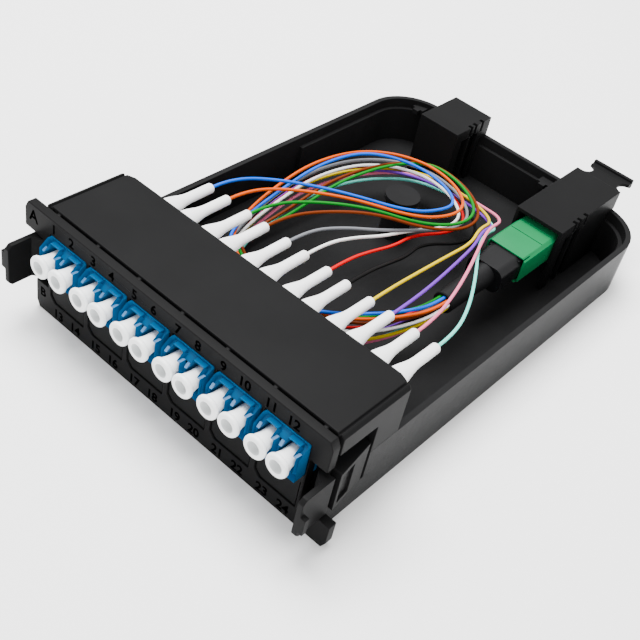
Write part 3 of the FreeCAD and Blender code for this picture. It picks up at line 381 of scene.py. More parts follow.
class Bench:
    """Modelling moves that several sub-assemblies share."""

    SHARP = math.radians(30.0)
    SAME_PLACE = 1e-7
    NEAR = 0.01 * MM
    ROUNDING_STEPS = 2

    @staticmethod
    def clear_selection() -> None:
        """Leave edit mode and deselect everything."""
        if bpy.context.object and bpy.context.object.mode != "OBJECT":
            bpy.ops.object.mode_set(mode="OBJECT")
        bpy.ops.object.select_all(action="DESELECT")

    @staticmethod
    def take(piece: bpy.types.Object) -> None:
        """Select one piece alone and make it active."""
        Bench.clear_selection()
        piece.select_set(True)
        bpy.context.view_layer.objects.active = piece

    @staticmethod
    def settle(piece: bpy.types.Object) -> None:
        """Move a piece's place, turn and scale into its mesh."""
        Bench.take(piece)
        bpy.ops.object.transform_apply(location=True, rotation=True, scale=True)

    @staticmethod
    def modify(piece: bpy.types.Object, kind: str, **settings: object) -> None:
        """Add a modifier and apply it.

        Args:
            piece: The piece.
            kind: The modifier's type.
            settings: Its properties.
        """
        Bench.take(piece)
        modifier = piece.modifiers.new(kind.lower(), kind)
        for key, setting in settings.items():
            setattr(modifier, key, setting)
        bpy.ops.object.modifier_apply(modifier=modifier.name)

    @staticmethod
    def cut(piece: bpy.types.Object, cutter: bpy.types.Object) -> None:
        """Take a cutter's shape out of a piece and clear the cutter away."""
        Bench.settle(cutter)
        Bench.modify(piece, "BOOLEAN", operation="DIFFERENCE", solver="EXACT", object=cutter)
        bpy.data.objects.remove(cutter)

    @staticmethod
    def smooth(piece: bpy.types.Object, degrees: float = 35.0) -> None:
        """Shade a piece smooth where its faces meet at less than an angle."""
        Bench.take(piece)
        bpy.ops.object.shade_smooth_by_angle(angle=math.radians(degrees))

    @staticmethod
    def round_edges(piece: bpy.types.Object, width: float) -> None:
        """Round the sharp edges of a new piece."""
        Bench.modify(piece, "BEVEL", width=width, segments=Bench.ROUNDING_STEPS, limit_method="ANGLE")

    @staticmethod
    def tidy_normals() -> None:
        """In edit mode, merge doubles and point every face outwards."""
        bpy.ops.mesh.select_all(action="SELECT")
        bpy.ops.mesh.remove_doubles(threshold=Bench.SAME_PLACE)
        bpy.ops.mesh.normals_make_consistent(inside=False)

    @staticmethod
    def drawn_out(name: str, start: Vector, half: tuple[float, float], sides: int,
                  steps: Steps) -> bpy.types.Object:
        """Draw a round or square section out along the cassette's length.

        Args:
            name: The piece's name.
            start: Centre of the first section.
            half: Half width and half height of the first section.
            sides: Corners of the section; 4 gives a rectangle.
            steps: For each further section, how far it lies behind the last, how far
                above it, and its size against the last across and up.

        Returns:
            The closed piece.
        """
        Bench.clear_selection()
        turn = math.pi / 4 if sides == 4 else 0.0
        reach = math.sqrt(2.0) if sides == 4 else 1.0
        bpy.ops.mesh.primitive_circle_add(vertices=sides, radius=reach, fill_type="NGON",
                                          rotation=(0.0, 0.0, turn))
        piece = bpy.context.object
        piece.name = piece.data.name = name
        bpy.ops.object.transform_apply(location=False, rotation=True, scale=False)
        piece.rotation_euler = (math.pi / 2, 0.0, 0.0)
        piece.scale = (half[0], half[1], 1.0)
        piece.location = start
        bpy.ops.object.transform_apply(location=True, rotation=True, scale=True)
        bpy.ops.object.mode_set(mode="EDIT")
        bpy.ops.mesh.select_all(action="SELECT")
        centre = start.copy()
        for back, up, across, tall in steps:
            bpy.ops.mesh.extrude_region_move(TRANSFORM_OT_translate={"value": (0.0, back, up)})
            centre += Vector((0.0, back, up))
            bpy.ops.transform.resize(value=(across, 1.0, tall), center_override=centre)
        Bench.tidy_normals()
        bpy.ops.object.mode_set(mode="OBJECT")
        return piece

    @staticmethod
    def turned(name: str, start: Vector, profile: Profile, sides: int,
               crease: float) -> bpy.types.Object:
        """Turn a profile about an axis that runs to the rear.

        Args:
            name: The piece's name.
            start: Centre of the first section.
            profile: For each section, how far it lies behind the last, and its radius.
            sides: Corners of each section.
            crease: Edges sharper than this many degrees stay sharp to the eye.

        Returns:
            The closed piece.
        """
        radii = [radius for _, radius in profile]
        steps = [(back, 0.0, radius / before, radius / before)
                 for (back, radius), before in zip(profile[1:], radii)]
        piece = Bench.drawn_out(name, start, (radii[0], radii[0]), sides, steps)
        Bench.smooth(piece, crease)
        return piece

    @staticmethod
    def pick_faces(piece: bpy.types.Object, wanted: Callable[[bpy.types.MeshPolygon], bool]) -> None:
        """Go into edit mode with just the wanted faces selected.

        Args:
            piece: The piece.
            wanted: Whether a face is selected.
        """
        Bench.take(piece)
        bpy.ops.object.mode_set(mode="EDIT")
        bpy.ops.mesh.select_mode(type="FACE")
        bpy.ops.mesh.select_all(action="DESELECT")
        bpy.ops.object.mode_set(mode="OBJECT")
        for face in piece.data.polygons:
            face.select = wanted(face)
        bpy.ops.object.mode_set(mode="EDIT")

    @staticmethod
    def assign(piece: bpy.types.Object, material: bpy.types.Material) -> None:
        """Give the faces selected in edit mode a further material and leave edit mode."""
        piece.data.materials.append(material)
        piece.active_material_index = len(piece.data.materials) - 1
        bpy.ops.object.material_slot_assign()
        bpy.ops.object.mode_set(mode="OBJECT")

    @staticmethod
    def join(name: str, pieces: Sequence[bpy.types.Object]) -> bpy.types.Object:
        """Join pieces into one object of a name."""
        Bench.take(pieces[0])
        for piece in pieces:
            piece.select_set(True)
        bpy.ops.object.join()
        joined = bpy.context.object
        joined.name = joined.data.name = name
        return joined

    @staticmethod
    def copy(piece: bpy.types.Object, name: str, offset: Vector) -> bpy.types.Object:
        """Copy a piece with its own mesh, moved by an offset."""
        Bench.take(piece)
        bpy.ops.object.duplicate(linked=False)
        twin = bpy.context.object
        twin.name = twin.data.name = name
        twin.location = offset
        Bench.settle(twin)
        return twin

    @staticmethod
    def dress(piece: bpy.types.Object, material: bpy.types.Material) -> None:
        """Give a piece one material throughout."""
        piece.data.materials.clear()
        piece.data.materials.append(material)

    @staticmethod
    def dress_node(node: str, material: bpy.types.Material) -> None:
        """Give a frame node that needs no twin its material."""
        Bench.dress(bpy.data.objects[node], material)
        LOG.info("%s is dressed as it is", node)

    @staticmethod
    def softened(node: str, radius: float, material: bpy.types.Material, body: Body | str,
                 slot: str, shaping: Callable[[bpy.types.Object], None] | None = None) -> bpy.types.Object:
        """A twin of a frame node with its edges rounded, which stands for the node.

        Args:
            node: The frame node.
            radius: Width of the rounding in metres.
            material: The twin's material.
            body: The body it rides on.
            slot: Not used.
            shaping: What else is done to the twin before its edges are rounded.

        Returns:
            The twin.
        """
        source = bpy.data.objects[node]
        piece = source.copy()
        piece.data = source.data.copy()
        piece.name = piece.data.name = f"{node}_soft"
        bpy.context.scene.collection.objects.link(piece)
        Bench.take(piece)
        bpy.ops.object.mode_set(mode="EDIT")
        Bench.tidy_normals()
        bpy.ops.object.mode_set(mode="OBJECT")
        if shaping is not None:
            shaping(piece)
        Bench.modify(piece, "BEVEL", width=radius, segments=Bench.ROUNDING_STEPS, limit_method="ANGLE",
                     angle_limit=Bench.SHARP, use_clamp_overlap=True, miter_outer="MITER_ARC")
        Bench.smooth(piece)
        Bench.modify(piece, "WEIGHTED_NORMAL", keep_sharp=True, weight=100)
        Bench.dress(piece, material)
        Bench.seat(piece, body, slot, node)
        return piece

    @staticmethod
    def seat(piece: bpy.types.Object, body: Body | str, slot: str, *nodes: str) -> None:
        """Ride a piece on its body and let it stand for frame nodes."""
        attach(piece, body.value if isinstance(body, Body) else body)
        if nodes:
            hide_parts(*nodes)
        LOG.info("%s is in its place", piece.name)


@dataclass
class Shells:
    """Tray, faceplate, cover, blanks, hoods, latches and release tab."""

    palette: Palette
    edge: float = 0.25 * MM
    fine_edge: float = 0.12 * MM

    def build(self) -> None:
        """Round the shells' edges and dress them."""
        black = self.palette.shell
        for node, radius, material, body in (
            ("faceplate", self.edge, black, Body.CASSETTE),
            ("front_cover", self.edge, black, Body.COVER),
            ("blank_strip", self.fine_edge, black, Body.CASSETTE),
            ("mpo_hood", self.fine_edge, black, Body.CASSETTE),
            ("blank_hood", self.fine_edge, black, Body.CASSETTE),
            ("latch_right", self.edge, black, Body.LATCH_RIGHT),
            ("latch_left", self.edge, black, Body.LATCH_LEFT),
            ("rear_release_tab", self.fine_edge, black, Body.RELEASE_TAB),
            ("base_tray", self.edge, self.palette.tray, Body.CASSETTE),
        ):
            Bench.softened(node, radius, material, body, "shell_black")


@dataclass
class FrontRow:
    """Adapters with their sleeves, dust caps and plugs.

    A profile gives, for each section, how far it lies behind the last, and its radius.

    Attributes:
        palette: The finishes.
        adapter_edge: Rounding of the adapters' edges.
        front_band: How near to the plate's front an adapter's front faces lie.
        front_normal: The most that they point to the rear.
        front_rim: Width of the rims that stay round an adapter's front and its ports.
        front_sunk: How deep the front between the rims is sunk.
        segments: Corners of a turned section.
        crease: Sharpest angle, in degrees, that a turned piece smooths over.
        cap_trim: Radius of a cap's flange against half the frame piece's width.
        dish_depth: Depth of the dish in a cap's front.
        dish_radius: Radius of the dish; its faces inside this radius get the grey painted shade.
        dish: Profile of the dish, from its middle.
        flange: Profile of the flange, its radii less the flange's own.
        trumpet: Profile of the neck behind it.
        stem: Radii of the stem where its taper starts and ends.
        cap_tip: Length of that taper.
        plug_axis_above: Height of a plug's axis over its lowest point.
        nose: Half width of a plug's housing at its front end.
        side: Half width behind that.
        waist: Width of its rear half against its front half.
        housing: Lengths of its nose, front half, step and rear half.
        housing_edge: Rounding of its edges.
        boot_root: Where the boot starts, from the plug's front end.
        boot: Profile of the boot.
        boot_end: Radii of the boot where the taper at its end starts and ends.
        boot_tip: Length of that taper.
        lever_foot: Where the latch lever starts, from the plug's front end.
        lever_half: Half width and half height of the lever's foot.
        lever: Steps of the lever: how far to the rear, how far up, and its size against the
            last across and up.
        lever_edge: Rounding of its edges.
    """

    palette: Palette
    adapter_edge: float = 0.08 * MM
    front_band: float = 0.2 * MM
    front_normal: float = -0.5
    front_rim: float = 0.42 * MM
    front_sunk: float = 1.5 * MM
    segments: int = 48
    crease: float = 50.0
    cap_trim: float = 0.96
    dish_depth: float = 1.7 * MM
    dish_radius: float = 1.62 * MM
    dish: Profile = (
        (0.0, 0.60 * MM), (-0.25 * MM, 1.05 * MM), (-1.0 * MM, 1.40 * MM), (-0.35 * MM, 1.68 * MM),
        (-0.10 * MM, 2.05 * MM))
    flange: Profile = (
        (0.0, -0.45 * MM), (0.12 * MM, -0.15 * MM), (0.3 * MM, 0.0), (0.5 * MM, 0.0),
        (0.3 * MM, -0.2 * MM), (0.3 * MM, -0.6 * MM))
    trumpet: Profile = ((0.6 * MM, 2.32 * MM), (0.9 * MM, 2.12 * MM), (1.2 * MM, 2.04 * MM))
    stem: tuple[float, float] = (2.02 * MM, 1.75 * MM)
    cap_tip: float = 0.4 * MM
    plug_axis_above: float = 2.9 * MM
    nose: float = 2.1 * MM
    side: float = 2.25 * MM
    waist: float = 0.94
    housing: tuple[float, float, float, float] = (0.5 * MM, 7.0 * MM, 0.01 * MM, 4.6 * MM)
    housing_edge: float = 0.15 * MM
    boot_root: float = 11.9 * MM
    boot: Profile = (
        (0.0, 2.6 * MM), (0.3 * MM, 2.88 * MM), (2.4 * MM, 2.86 * MM), (2.4 * MM, 2.72 * MM),
        (2.2 * MM, 2.46 * MM), (1.7 * MM, 2.12 * MM), (1.5 * MM, 1.78 * MM), (1.5 * MM, 1.53 * MM),
        (1.6 * MM, 1.42 * MM))
    boot_end: tuple[float, float] = (1.38 * MM, 1.2 * MM)
    boot_tip: float = 0.3 * MM
    lever_foot: Point = (0.0, 1.0 * MM, 2.2 * MM)
    lever_half: tuple[float, float] = (0.95 * MM, 0.3 * MM)
    lever: Steps = (
        (1.6 * MM, 0.05 * MM, 1.0, 1.0), (6.0 * MM, 0.45 * MM, 1.0, 1.0),
        (3.3 * MM, 1.1 * MM, 1.15, 1.0), (0.3 * MM, 0.05 * MM, 1.0, 0.8))
    lever_edge: float = 0.1 * MM

    def build(self) -> None:
        """Build the whole row."""
        for number in range(1, PORTS // 2 + 1):
            Bench.softened(f"lc_adapter_{number}", self.adapter_edge, self.palette.adapter, Body.CASSETTE,
                           "adapter_blue", self._sunk_front)
        for node in ("alignment_sleeves", "lc_ferrules"):
            Bench.dress_node(node, self.palette.ceramic)
        self._repeat(self._cap(), "dust_cap", "cap_white", lambda n: f"cap_{n:02d}")
        self._repeat(self._plug(), "lc_plug", "plug_white", lambda n: Body.CASSETTE)

    def _sunk_front(self, adapter: bpy.types.Object) -> None:
        """Sink an adapter's front between its own rim and the rims of its ports."""
        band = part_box("faceplate")[0][1] + self.front_band
        Bench.pick_faces(adapter, lambda face: face.normal.y < self.front_normal
                         and face.center.y < band)
        bpy.ops.mesh.inset(thickness=self.front_rim, depth=-self.front_sunk, use_even_offset=True)
        bpy.ops.object.mode_set(mode="OBJECT")

    def _centre(self, node: str) -> Vector:
        """Middle of a node's box."""
        low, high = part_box(node)
        return (Vector(low) + Vector(high)) / 2

    def _repeat(self, first: bpy.types.Object, stem: str, slot: str,
                body: Callable[[int], Body | str]) -> None:
        """Copy a finished piece to every port.

        Args:
            first: The piece at port 1.
            stem: The frame nodes' name before their number.
            slot: Not used.
            body: The body for a port's number.
        """
        origin = self._centre(f"{stem}_01")
        for number in range(1, PORTS + 1):
            node = f"{stem}_{number:02d}"
            offset = self._centre(node) - origin
            piece = first if number == 1 else Bench.copy(first, f"{node}_dressed", offset)
            Bench.seat(piece, body(number), slot, node)

    def _cap(self) -> bpy.types.Object:
        """Dust cap at port 1: dished flange, trumpet behind it, stem in the port; the dish is painted grey
        as shade.
        """
        low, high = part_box("dust_cap_01")
        centre = self._centre("dust_cap_01")
        start = Vector((centre.x, low[1] + self.dish_depth, centre.z))
        rim = (high[0] - low[0]) / 2 * self.cap_trim
        flange = tuple((back, rim + less) for back, less in self.flange)
        shown = self.dish + flange + self.trumpet
        reached = self.dish_depth + sum(back for back, _ in shown)
        stem = ((high[1] - low[1] - reached - self.cap_tip, self.stem[0]), (self.cap_tip, self.stem[1]))
        cap = Bench.turned("dust_cap_01_dressed", start, shown + stem, self.segments, self.crease)
        Bench.dress(cap, self.palette.cap)
        # The dish's faces get the grey material: painted shade in the recess.
        axis = Vector((start.x, 0.0, start.z))
        floor = start.y + Bench.NEAR
        Bench.pick_faces(cap, lambda face: face.center.y < floor
                         and (Vector((face.center.x, 0.0, face.center.z)) - axis).length < self.dish_radius)
        Bench.assign(cap, self.palette.dish)
        return cap

    def _plug(self) -> bpy.types.Object:
        """Plug at port 1: housing with a step, latch lever, flared boot."""
        low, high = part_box("lc_plug_01")
        axis = Vector((self._centre("lc_plug_01").x, low[1], low[2] + self.plug_axis_above))
        sizes = (self.side / self.nose, 1.0, self.waist, 1.0)
        housing = Bench.drawn_out("plug_housing", axis, (self.nose, self.nose), 4,
                                  [(length, 0.0, size, size) for length, size in zip(self.housing, sizes)])
        Bench.round_edges(housing, self.housing_edge)
        root = axis + Vector((0.0, self.boot_root, 0.0))
        left = high[1] - root.y - sum(back for back, _ in self.boot) - self.boot_tip
        end = ((left, self.boot_end[0]), (self.boot_tip, self.boot_end[1]))
        boot = Bench.turned("plug_boot", root, self.boot + end, self.segments, self.crease)
        lever = Bench.drawn_out("plug_lever", axis + Vector(self.lever_foot), self.lever_half, 4, self.lever)
        Bench.round_edges(lever, self.lever_edge)
        plug = Bench.join("lc_plug_01_dressed", (housing, boot, lever))
        Bench.dress(plug, self.palette.plug)
        return plug


@dataclass
class RearPort:
    """Multi-fibre plug with its green sleeve, boot, ferrule and adapter.

    Attributes:
        palette: The finishes.
        adapter_edge: Rounding of the adapter's edges.
        plug_edge: Rounding of the plug's edges.
        sleeve_edge: Rounding of the sleeve's edges.
        line_share: Where the line lies along the part of the sleeve that shows.
        line_size: Width of the line, and twice its depth.
        hole_share: Where the hole lies along the part of the sleeve that shows.
        hole_radius: Radius of the hole.
        hole_length: Length of the pin that cuts it, which is twice its depth.
        hole_below: How far it lies under the sleeve's middle.
        hole_corners: Corners of the hole.
        bore: Radius of the boot's bore.
        bore_depth: Depth of the bore.
        mouth: Radius of the boot's mouth.
        lip: Rounding of the mouth.
        taper: Shares of the boot's length for its thin part, its taper and its root.
        segments: Corners of a section of the boot.
        crease: Sharpest angle, in degrees, that the boot smooths over.
    """

    palette: Palette
    adapter_edge: float = 0.15 * MM
    plug_edge: float = 0.12 * MM
    sleeve_edge: float = 0.1 * MM
    line_share: float = 0.66
    line_size: tuple[float, float] = (0.28 * MM, 0.4 * MM)
    hole_share: float = 0.84
    hole_radius: float = 0.5 * MM
    hole_length: float = 0.8 * MM
    hole_below: float = 0.8 * MM
    hole_corners: int = 24
    bore: float = 2.28 * MM
    bore_depth: float = 9.0 * MM
    mouth: float = 3.0 * MM
    lip: float = 0.2 * MM
    taper: tuple[float, float, float] = (0.55, 0.35, 0.1)
    segments: int = 64
    crease: float = 40.0

    def build(self) -> None:
        """Dress the rear port's pieces."""
        palette = self.palette
        self._sleeve()
        Bench.softened("mpo_adapter", self.adapter_edge, palette.collar, Body.CASSETTE, "plug_black")
        Bench.softened("mpo_plug", self.plug_edge, palette.collar, Body.CASSETTE, "plug_black")
        Bench.dress_node("mt_ferrule", palette.collar)
        Bench.dress_node("guide_pins", palette.steel)
        self._boot()

    def _sleeve(self) -> None:
        """Green sleeve with the line across its top and the small hole in its side."""
        sleeve = Bench.softened("mpo_coupling", self.sleeve_edge, self.palette.coupling, Body.COUPLING,
                                "coupling_green")
        low, high = (Vector(corner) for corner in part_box("mpo_coupling"))
        centre = (low + high) / 2
        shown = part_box("mpo_hood")[0][1] - low.y
        Bench.clear_selection()
        bpy.ops.mesh.primitive_cube_add(size=1.0,
                                        location=(centre.x, low.y + self.line_share * shown, high.z))
        line = bpy.context.object
        line.scale = (high.x - low.x, *self.line_size)
        Bench.cut(sleeve, line)
        Bench.clear_selection()
        place = (high.x, low.y + self.hole_share * shown, centre.z - self.hole_below)
        bpy.ops.mesh.primitive_cylinder_add(vertices=self.hole_corners, radius=self.hole_radius,
                                            depth=self.hole_length, location=place,
                                            rotation=(0.0, math.pi / 2, 0.0))
        Bench.cut(sleeve, bpy.context.object)

    def _boot(self) -> None:
        """Tapered boot with its open mouth."""
        low, high = (Vector(corner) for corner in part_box("mpo_boot"))
        centre = (low + high) / 2
        root = (high.x - low.x) / 2
        thin, taper, thick = (share * (high.y - low.y) for share in self.taper)
        inside = ((0.0, self.bore), (-self.bore_depth, self.bore))
        outside = ((0.0, self.mouth - self.lip), (self.lip, self.mouth), (thin, self.mouth + self.lip / 2),
                   (taper, root - self.lip / 2), (thick - self.lip, root))
        start = Vector((centre.x, low.y + self.bore_depth, centre.z))
        piece = Bench.turned("mpo_boot_dressed", start, inside + outside, self.segments, self.crease)
        Bench.dress(piece, self.palette.rubber)
        Bench.seat(piece, Body.CASSETTE, "boot_rubber", "mpo_boot")


@dataclass
class Fibres:
    """The twelve buffered fibres, from the plugs round the post to the rear port.

    Places are in millimetres from the middle of the plate's foot: right, rear and up.

    Attributes:
        palette: The finishes.
        diameter: Diameter of a fibre, in metres.
        post: Place of the slack post.
        loop: Points of the loop round the post, from the post.
        reaches: For each fibre, how far its loop reaches right, to the rear and left.
        far_left: Point at which the loop turns back to the front.
        way_back: Points of the way back to the right, each with its share of the sway and
            of the place in the bore.
        way_in: Points of the way into the bore: how far right of the place in the bore, how
            far to the rear, its share of the climb, and how far it is drawn to the middle.
        rings: Rings of fibres in the bore: how many, radius, and first angle in degrees.
        steep: Shares of the fall to the loop's level, for the first fibres.
        gentle: The same for fibres that pass over the boot.
        late: The same for the fibre that passes over the sleeve.
        dive: Shares of that fall before the loop, for the fibres that dive.
        first_diving: First of the fibres that dive.
        first_over_boot: First of the fibres that pass over the boot.
        over_coupling: The fibre that passes over the sleeve.
        wide_turn: How far right and to the rear the fibres over the boot swing out first.
        rises: Shares of the way from a plug to the loop at which a point lies.
        bow: How much the way to the loop is bowed.
        bow_over_boot: The same for fibres that pass over the boot.
        top: Level of the humps.
        top_over_coupling: The same over the sleeve.
        top_loop: Level of the first fibre's loop.
        top_return: Level of the first fibre's way back.
        layer: Height from one fibre to the next.
        hump: How far a hump rises over its level.
        hump_fall: How far it falls again on the way.
        boot_tip: Where a fibre leaves its plug's boot.
        bend_out: Where it starts to turn.
        port_level: Level of the plugs' axes.
        rear_side: How far right the rear port is.
        rear_level: Level of its axis.
        sway: How far neighbours lie apart on the way back.
        smoothness: Steps of the curve from point to point.
        roundness: Steps of the round section.
    """

    palette: Palette
    diameter: float = 0.9 * MM
    post: tuple[float, float] = (-9.0, 97.5)
    loop: tuple[tuple[float, float], ...] = (
        (12.0, -9.5), (18.0, 0.5), (17.0, 11.5), (9.0, 19.5), (-2.0, 22.0), (-12.0, 17.5),
        (-19.5, 8.5), (-24.0, -2.5), (-26.0, -15.5), (-26.0, -28.5))
    reaches: tuple[tuple[float, float, float], ...] = (
        (0.80, 0.48, 0.80), (0.93, 0.70, 0.90), (1.12, 0.84, 0.52), (1.20, 0.92, 0.62),
        (1.05, 0.78, 0.90), (0.92, 0.70, 0.84), (1.00, 0.78, 0.88), (1.26, 0.84, 0.96),
        (1.42, 0.97, 0.92), (1.48, 0.90, 0.98), (1.56, 1.08, 0.90), (1.54, 0.98, 0.84))
    far_left: tuple[float, float] = (-33.0, 57.5)
    way_back: tuple[tuple[float, float, float, float], ...] = (
        (-26.0, 46.0, 1.0, 0.0), (-15.5, 40.4, 1.0, 0.0), (-6.0, 38.4, 1.0, 0.0),
        (3.0, 39.6, 1.0, 0.0), (10.2, 43.8, 0.5, 1.0), (16.2, 49.6, 0.0, 1.0))
    way_in: tuple[tuple[float, float, float, float], ...] = (
        (-5.4, 55.8, 0.3, 0.0), (-1.4, 61.6, 0.74, 0.0), (0.0, 67.0, 1.0, 0.0),
        (0.0, 73.0, 1.0, 0.0), (0.0, 80.0, 1.0, 0.07))
    rings: tuple[tuple[int, float, float], ...] = ((9, 1.72, 90.0), (3, 0.62, 150.0))
    steep: tuple[float, ...] = (0.8, 0.95)
    gentle: tuple[float, ...] = (0.0, 0.06, 0.45, 0.8)
    late: tuple[float, ...] = (0.0, 0.0, 0.3, 0.8)
    dive: tuple[float, float] = (0.35, 0.85)
    first_diving: int = 4
    first_over_boot: int = 8
    over_coupling: int = 10
    wide_turn: tuple[float, float] = (2.8, 2.0)
    rises: tuple[float, float] = (0.34, 0.68)
    bow: float = 1.5
    bow_over_boot: float = 1.35
    top: float = 19.9
    top_over_coupling: float = 21.0
    top_loop: float = 19.0
    top_return: float = 14.6
    layer: float = 1.0
    hump: float = 0.3
    hump_fall: float = 0.25
    boot_tip: float = 49.0
    bend_out: float = 57.0
    port_level: float = 20.4
    rear_side: float = 26.5
    rear_level: float = 15.2
    sway: float = 1.6
    smoothness: int = 10
    roundness: int = 3

    def build(self) -> None:
        for port in range(PORTS):
            self._fibre(port)

    def _places(self) -> list[tuple[float, float]]:
        """Where the fibres lie in the rear boot's bore, from the highest to the lowest."""
        places = []
        for count, radius, start in self.rings:
            for step in range(count):
                angle = math.radians(start + 360 / count * step)
                places.append((radius * math.cos(angle), radius * math.sin(angle)))
        return sorted(places, key=lambda place: -place[1] - place[0] / 1000)

    def _route(self, port: int) -> list[Vector]:
        """The points of one fibre's route, in metres in the frame.

        Args:
            port: The port, counted from 0.

        Returns:
            The points from the plug's boot to the rear boot.
        """
        loop_level = self.top_loop - self.layer * port
        return_level = self.top_return - self.layer * port
        points = self._way_out(port, loop_level)
        points[-1] = (*points[-1][:2], (loop_level + return_level) / 2)
        left = self.reaches[port][2]
        points.append((self.far_left[0] * math.sqrt(left), self.far_left[1], return_level))
        sway = (port % 4 - 1.5) * self.sway
        across, up = self._places()[port]
        for x, y, loose, gathered in self.way_back:
            points.append((x + across * gathered, y + sway * loose, return_level))
        side, level = self.rear_side + across, self.rear_level + up
        for shift, y, climb, drawn_in in self.way_in:
            points.append((side + shift - drawn_in * across, y,
                           return_level + (level - return_level) * climb - drawn_in * up))
        return [Vector(point) * MM + FRAME_SHIFT for point in points]

    def _way_out(self, port: int, loop_level: float) -> list[Point]:
        """The points from a plug's boot to the end of the loop round the post.

        Args:
            port: The port, counted from 0.
            loop_level: Level of the fibre's loop.

        Returns:
            The points, in millimetres.
        """
        start = port_side(port)
        right, rear, left = self.reaches[port]
        loop = [(self.post[0] + x * (right if x > 0 else left), self.post[1] + y * (rear if y > 0 else 1))
                for x, y in self.loop]
        falls, bow, early, top = self.steep, self.bow, (0.0, 0.0), self.top
        if self.first_diving <= port < self.first_over_boot:
            falls, early = (), self.dive
        if port >= self.first_over_boot:
            falls, bow = self.gentle, self.bow_over_boot
            loop[0] = (loop[1][0] + self.wide_turn[0], loop[0][1] + self.wide_turn[1])
        if port == self.over_coupling:
            falls, top = self.late, self.top_over_coupling
        points = [(start, self.boot_tip, self.port_level), (start, self.bend_out, self.port_level)]
        for share, sunk in zip(self.rises, early):
            height = top + self.hump - self.hump_fall * share
            points.append((start + (loop[0][0] - start) * share ** bow,
                           self.bend_out + (loop[0][1] - self.bend_out) * share,
                           height + (loop_level - height) * sunk))
        for step, (x, y) in enumerate(loop):
            fall = falls[step] if step < len(falls) else 1
            points.append((x, y, top + (loop_level - top) * fall))
        return points

    def _fibre(self, port: int) -> None:
        node = f"fibre_{port + 1:02d}"
        points = self._route(port)
        curve = bpy.data.curves.new(f"{node}_jacket", "CURVE")
        curve.dimensions = "3D"
        curve.resolution_u = curve.render_resolution_u = self.smoothness
        curve.bevel_depth = self.diameter / 2
        curve.bevel_resolution = self.roundness
        curve.use_fill_caps = True
        spline = curve.splines.new("NURBS")
        spline.points.add(len(points) - 1)
        for control, point in zip(spline.points, points):
            control.co = (*point, 1.0)
        spline.order_u = 3
        spline.use_endpoint_u = True
        piece = bpy.data.objects.new(f"{node}_jacket", curve)
        bpy.context.scene.collection.objects.link(piece)
        curve.materials.append(self.palette.jackets[port])
        length = spline.calc_length()
        Bench.seat(piece, Body.CASSETTE, f"fibre_{Palette.JACKETS[port][0]}", node)
        LOG.info("%s is %.0f mm long", node, length / MM)


@dataclass
class Markings:
    """Port numbers and row letters on the faceplate, as thin near-black sheets: painted shade for lettering
    sunk into the plate.

    Attributes:
        palette: The finishes.
        height: Height of a number.
        fullness: Size of the lettering against that height.
        depth: Thickness of the lettering.
        boldness: How much its strokes are thickened.
        over: Level of the numbers over the ports.
        over_shift: How far these stand to the side of their ports.
        under: Level of the numbers under the ports.
        letters: For each letter, its distance from the plate's left end, its level and its
            size against the numbers'.
    """

    palette: Palette
    height: float = 2.7 * MM
    fullness: float = 1.35
    depth: float = 0.06 * MM
    boldness: float = 0.09 * MM
    over: float = 26.4 * MM
    over_shift: float = -1.9 * MM
    under: float = 1.1 * MM
    letters: tuple[tuple[str, float, float, float], ...] = (
        ("a", 3.2 * MM, 25.4 * MM, 1.25), ("b", 6.6 * MM, 4.6 * MM, 1.0))

    def build(self) -> None:
        """Write the numbers over and under the ports and a letter on each ear."""
        left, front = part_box("faceplate")[0][:2]
        for port in range(PORTS):
            across = port_side(port) * MM
            for number, place in ((port + 1, (across + self.over_shift, front, self.over)),
                                  (port + 1 + PORTS, (across, front, self.under))):
                self._write(f"number_{number:02d}", str(number), Vector(place))
        for letter, across, level, scale in self.letters:
            self._write(f"row_letter_{letter}", letter.upper(), Vector((left + across, front, level)), scale)

    def _write(self, name: str, words: str, place: Vector, scale: float = 1.0) -> None:
        """Lay one number or letter as a thin sheet half sunk in the plate's front; its near-black is painted
        shade.

        Args:
            name: The piece's name.
            words: What it says.
            place: Middle of its foot.
            scale: Its size against the numbers'.
        """
        Bench.clear_selection()
        bpy.ops.object.text_add(rotation=(math.pi / 2, 0.0, 0.0), location=place)
        piece = bpy.context.object
        piece.data.body = words
        piece.data.align_x = "CENTER"
        piece.data.size = self.height * scale * self.fullness
        piece.data.extrude = self.depth / 2
        piece.data.offset = self.boldness
        piece.data.resolution_u = 4
        bpy.ops.object.convert(target="MESH")
        piece = bpy.context.object
        piece.name = piece.data.name = name
        Bench.settle(piece)
        # Near-black lettering: painted shade of sunk numbers.
        Bench.dress(piece, self.palette.marking)
        Bench.seat(piece, Body.CASSETTE, "shell_black")


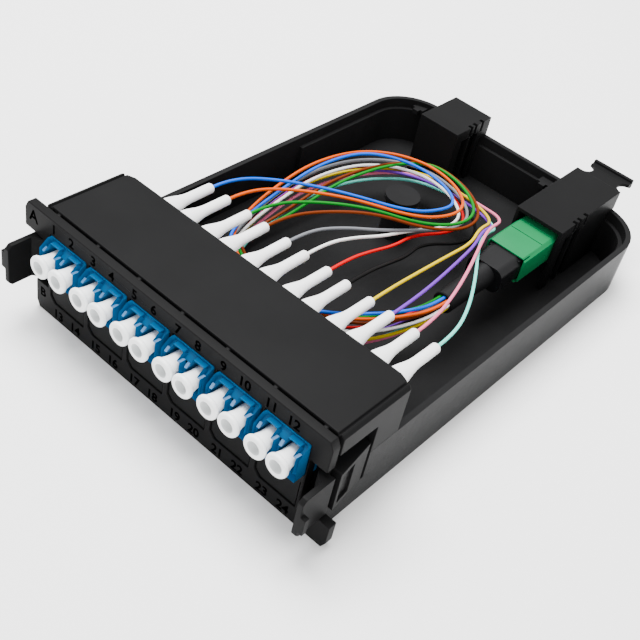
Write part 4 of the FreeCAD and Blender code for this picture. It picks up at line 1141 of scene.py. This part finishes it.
@dataclass
class Studio:
    """Table, lights and camera.

    Attributes:
        target: What the camera looks at, in millimetres from the middle of the plate's foot.
        azimuth: Turn of the camera to the right of the front, in degrees.
        elevation: Its height over the table, in degrees.
        roll: Its turn about its own axis, in degrees.
        distance: Its distance, in millimetres.
        lens: Its focal length, in millimetres.
        shift: How far its picture is shifted, against the picture's width.
        nearest: How near it still sees, in metres.
        table: Width of the table, in metres.
        surroundings: Brightness of the surroundings.
        lights: For each light, its name, its place in metres, its power in watts and its
            width in metres.
    """

    target: Point = (-2.63, 62.71, -7.89)
    azimuth: float = 32.52
    elevation: float = 41.28
    roll: float = 13.51
    distance: float = 284.21
    lens: float = 58.066875
    shift: tuple[float, float] = (-0.00828125, -0.00390625)
    nearest: float = 0.01
    table: float = 6.0
    surroundings: float = 1.15
    lights: tuple[tuple[str, Point, float, float], ...] = (
        ("top_light", (-0.25, 0.10, 0.85), 26.0, 0.6),
        ("side_light", (0.55, -0.65, 0.45), 3.0, 0.5))

    def build(self) -> None:
        """Set up the studio."""
        self._floor()
        self._world()
        self._lights()
        self._camera()

    def _floor(self) -> None:
        """A plain pale table top."""
        Bench.clear_selection()
        bpy.ops.mesh.primitive_plane_add(size=self.table, location=(0.0, 0.0, 0.0))
        floor = bpy.context.object
        floor.name = "table_top"
        Bench.dress(floor, TablePaper().build())

    def _world(self) -> None:
        """Even white surroundings."""
        world = bpy.data.worlds.new("white_room")
        world.use_nodes = True
        background = next(n for n in world.node_tree.nodes if n.type == "BACKGROUND")
        background.inputs["Color"].default_value = (1.0, 1.0, 1.0, 1.0)
        background.inputs["Strength"].default_value = self.surroundings
        bpy.context.scene.world = world

    def _lights(self) -> None:
        """A large soft light above and one from the front right."""
        for name, place, power, size in self.lights:
            light = bpy.data.lights.new(name, "AREA")
            light.energy = power
            light.size = size
            lamp = bpy.data.objects.new(name, light)
            lamp.location = place
            lamp.rotation_euler = Vector(place).to_track_quat("Z", "Y").to_euler()
            bpy.context.scene.collection.objects.link(lamp)

    def _camera(self) -> None:
        """Camera at the wanted viewing angle."""
        turn, rise, roll = (math.radians(angle) for angle in (self.azimuth, self.elevation, self.roll))
        back = Vector((math.sin(turn) * math.cos(rise), -math.cos(turn) * math.cos(rise), math.sin(rise)))
        right = UP.cross(back).normalized()
        up = back.cross(right)
        across = right * math.cos(roll) + up * math.sin(roll)
        above = up * math.cos(roll) - right * math.sin(roll)
        data = bpy.data.cameras.new("studio_camera")
        data.lens = self.lens
        data.shift_x, data.shift_y = self.shift
        data.clip_start = self.nearest
        camera = bpy.data.objects.new("studio_camera", data)
        place = (Vector(self.target) + back * self.distance) * MM + FRAME_SHIFT
        camera.matrix_world = Matrix.Translation(place) @ Matrix((across, above, back)).transposed().to_4x4()
        bpy.context.scene.collection.objects.link(camera)
        bpy.context.scene.camera = camera


def main() -> None:
    """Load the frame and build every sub-assembly."""
    logging.basicConfig(level=logging.INFO, format="%(name)s: %(message)s")
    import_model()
    palette = Palette()
    for part in (Studio(), Shells(palette), FrontRow(palette), RearPort(palette), Fibres(palette),
                 Markings(palette)):
        part.build()
        LOG.info("%s is done", type(part).__name__)
    Bench.clear_selection()


if __name__ == "__main__":
    main()
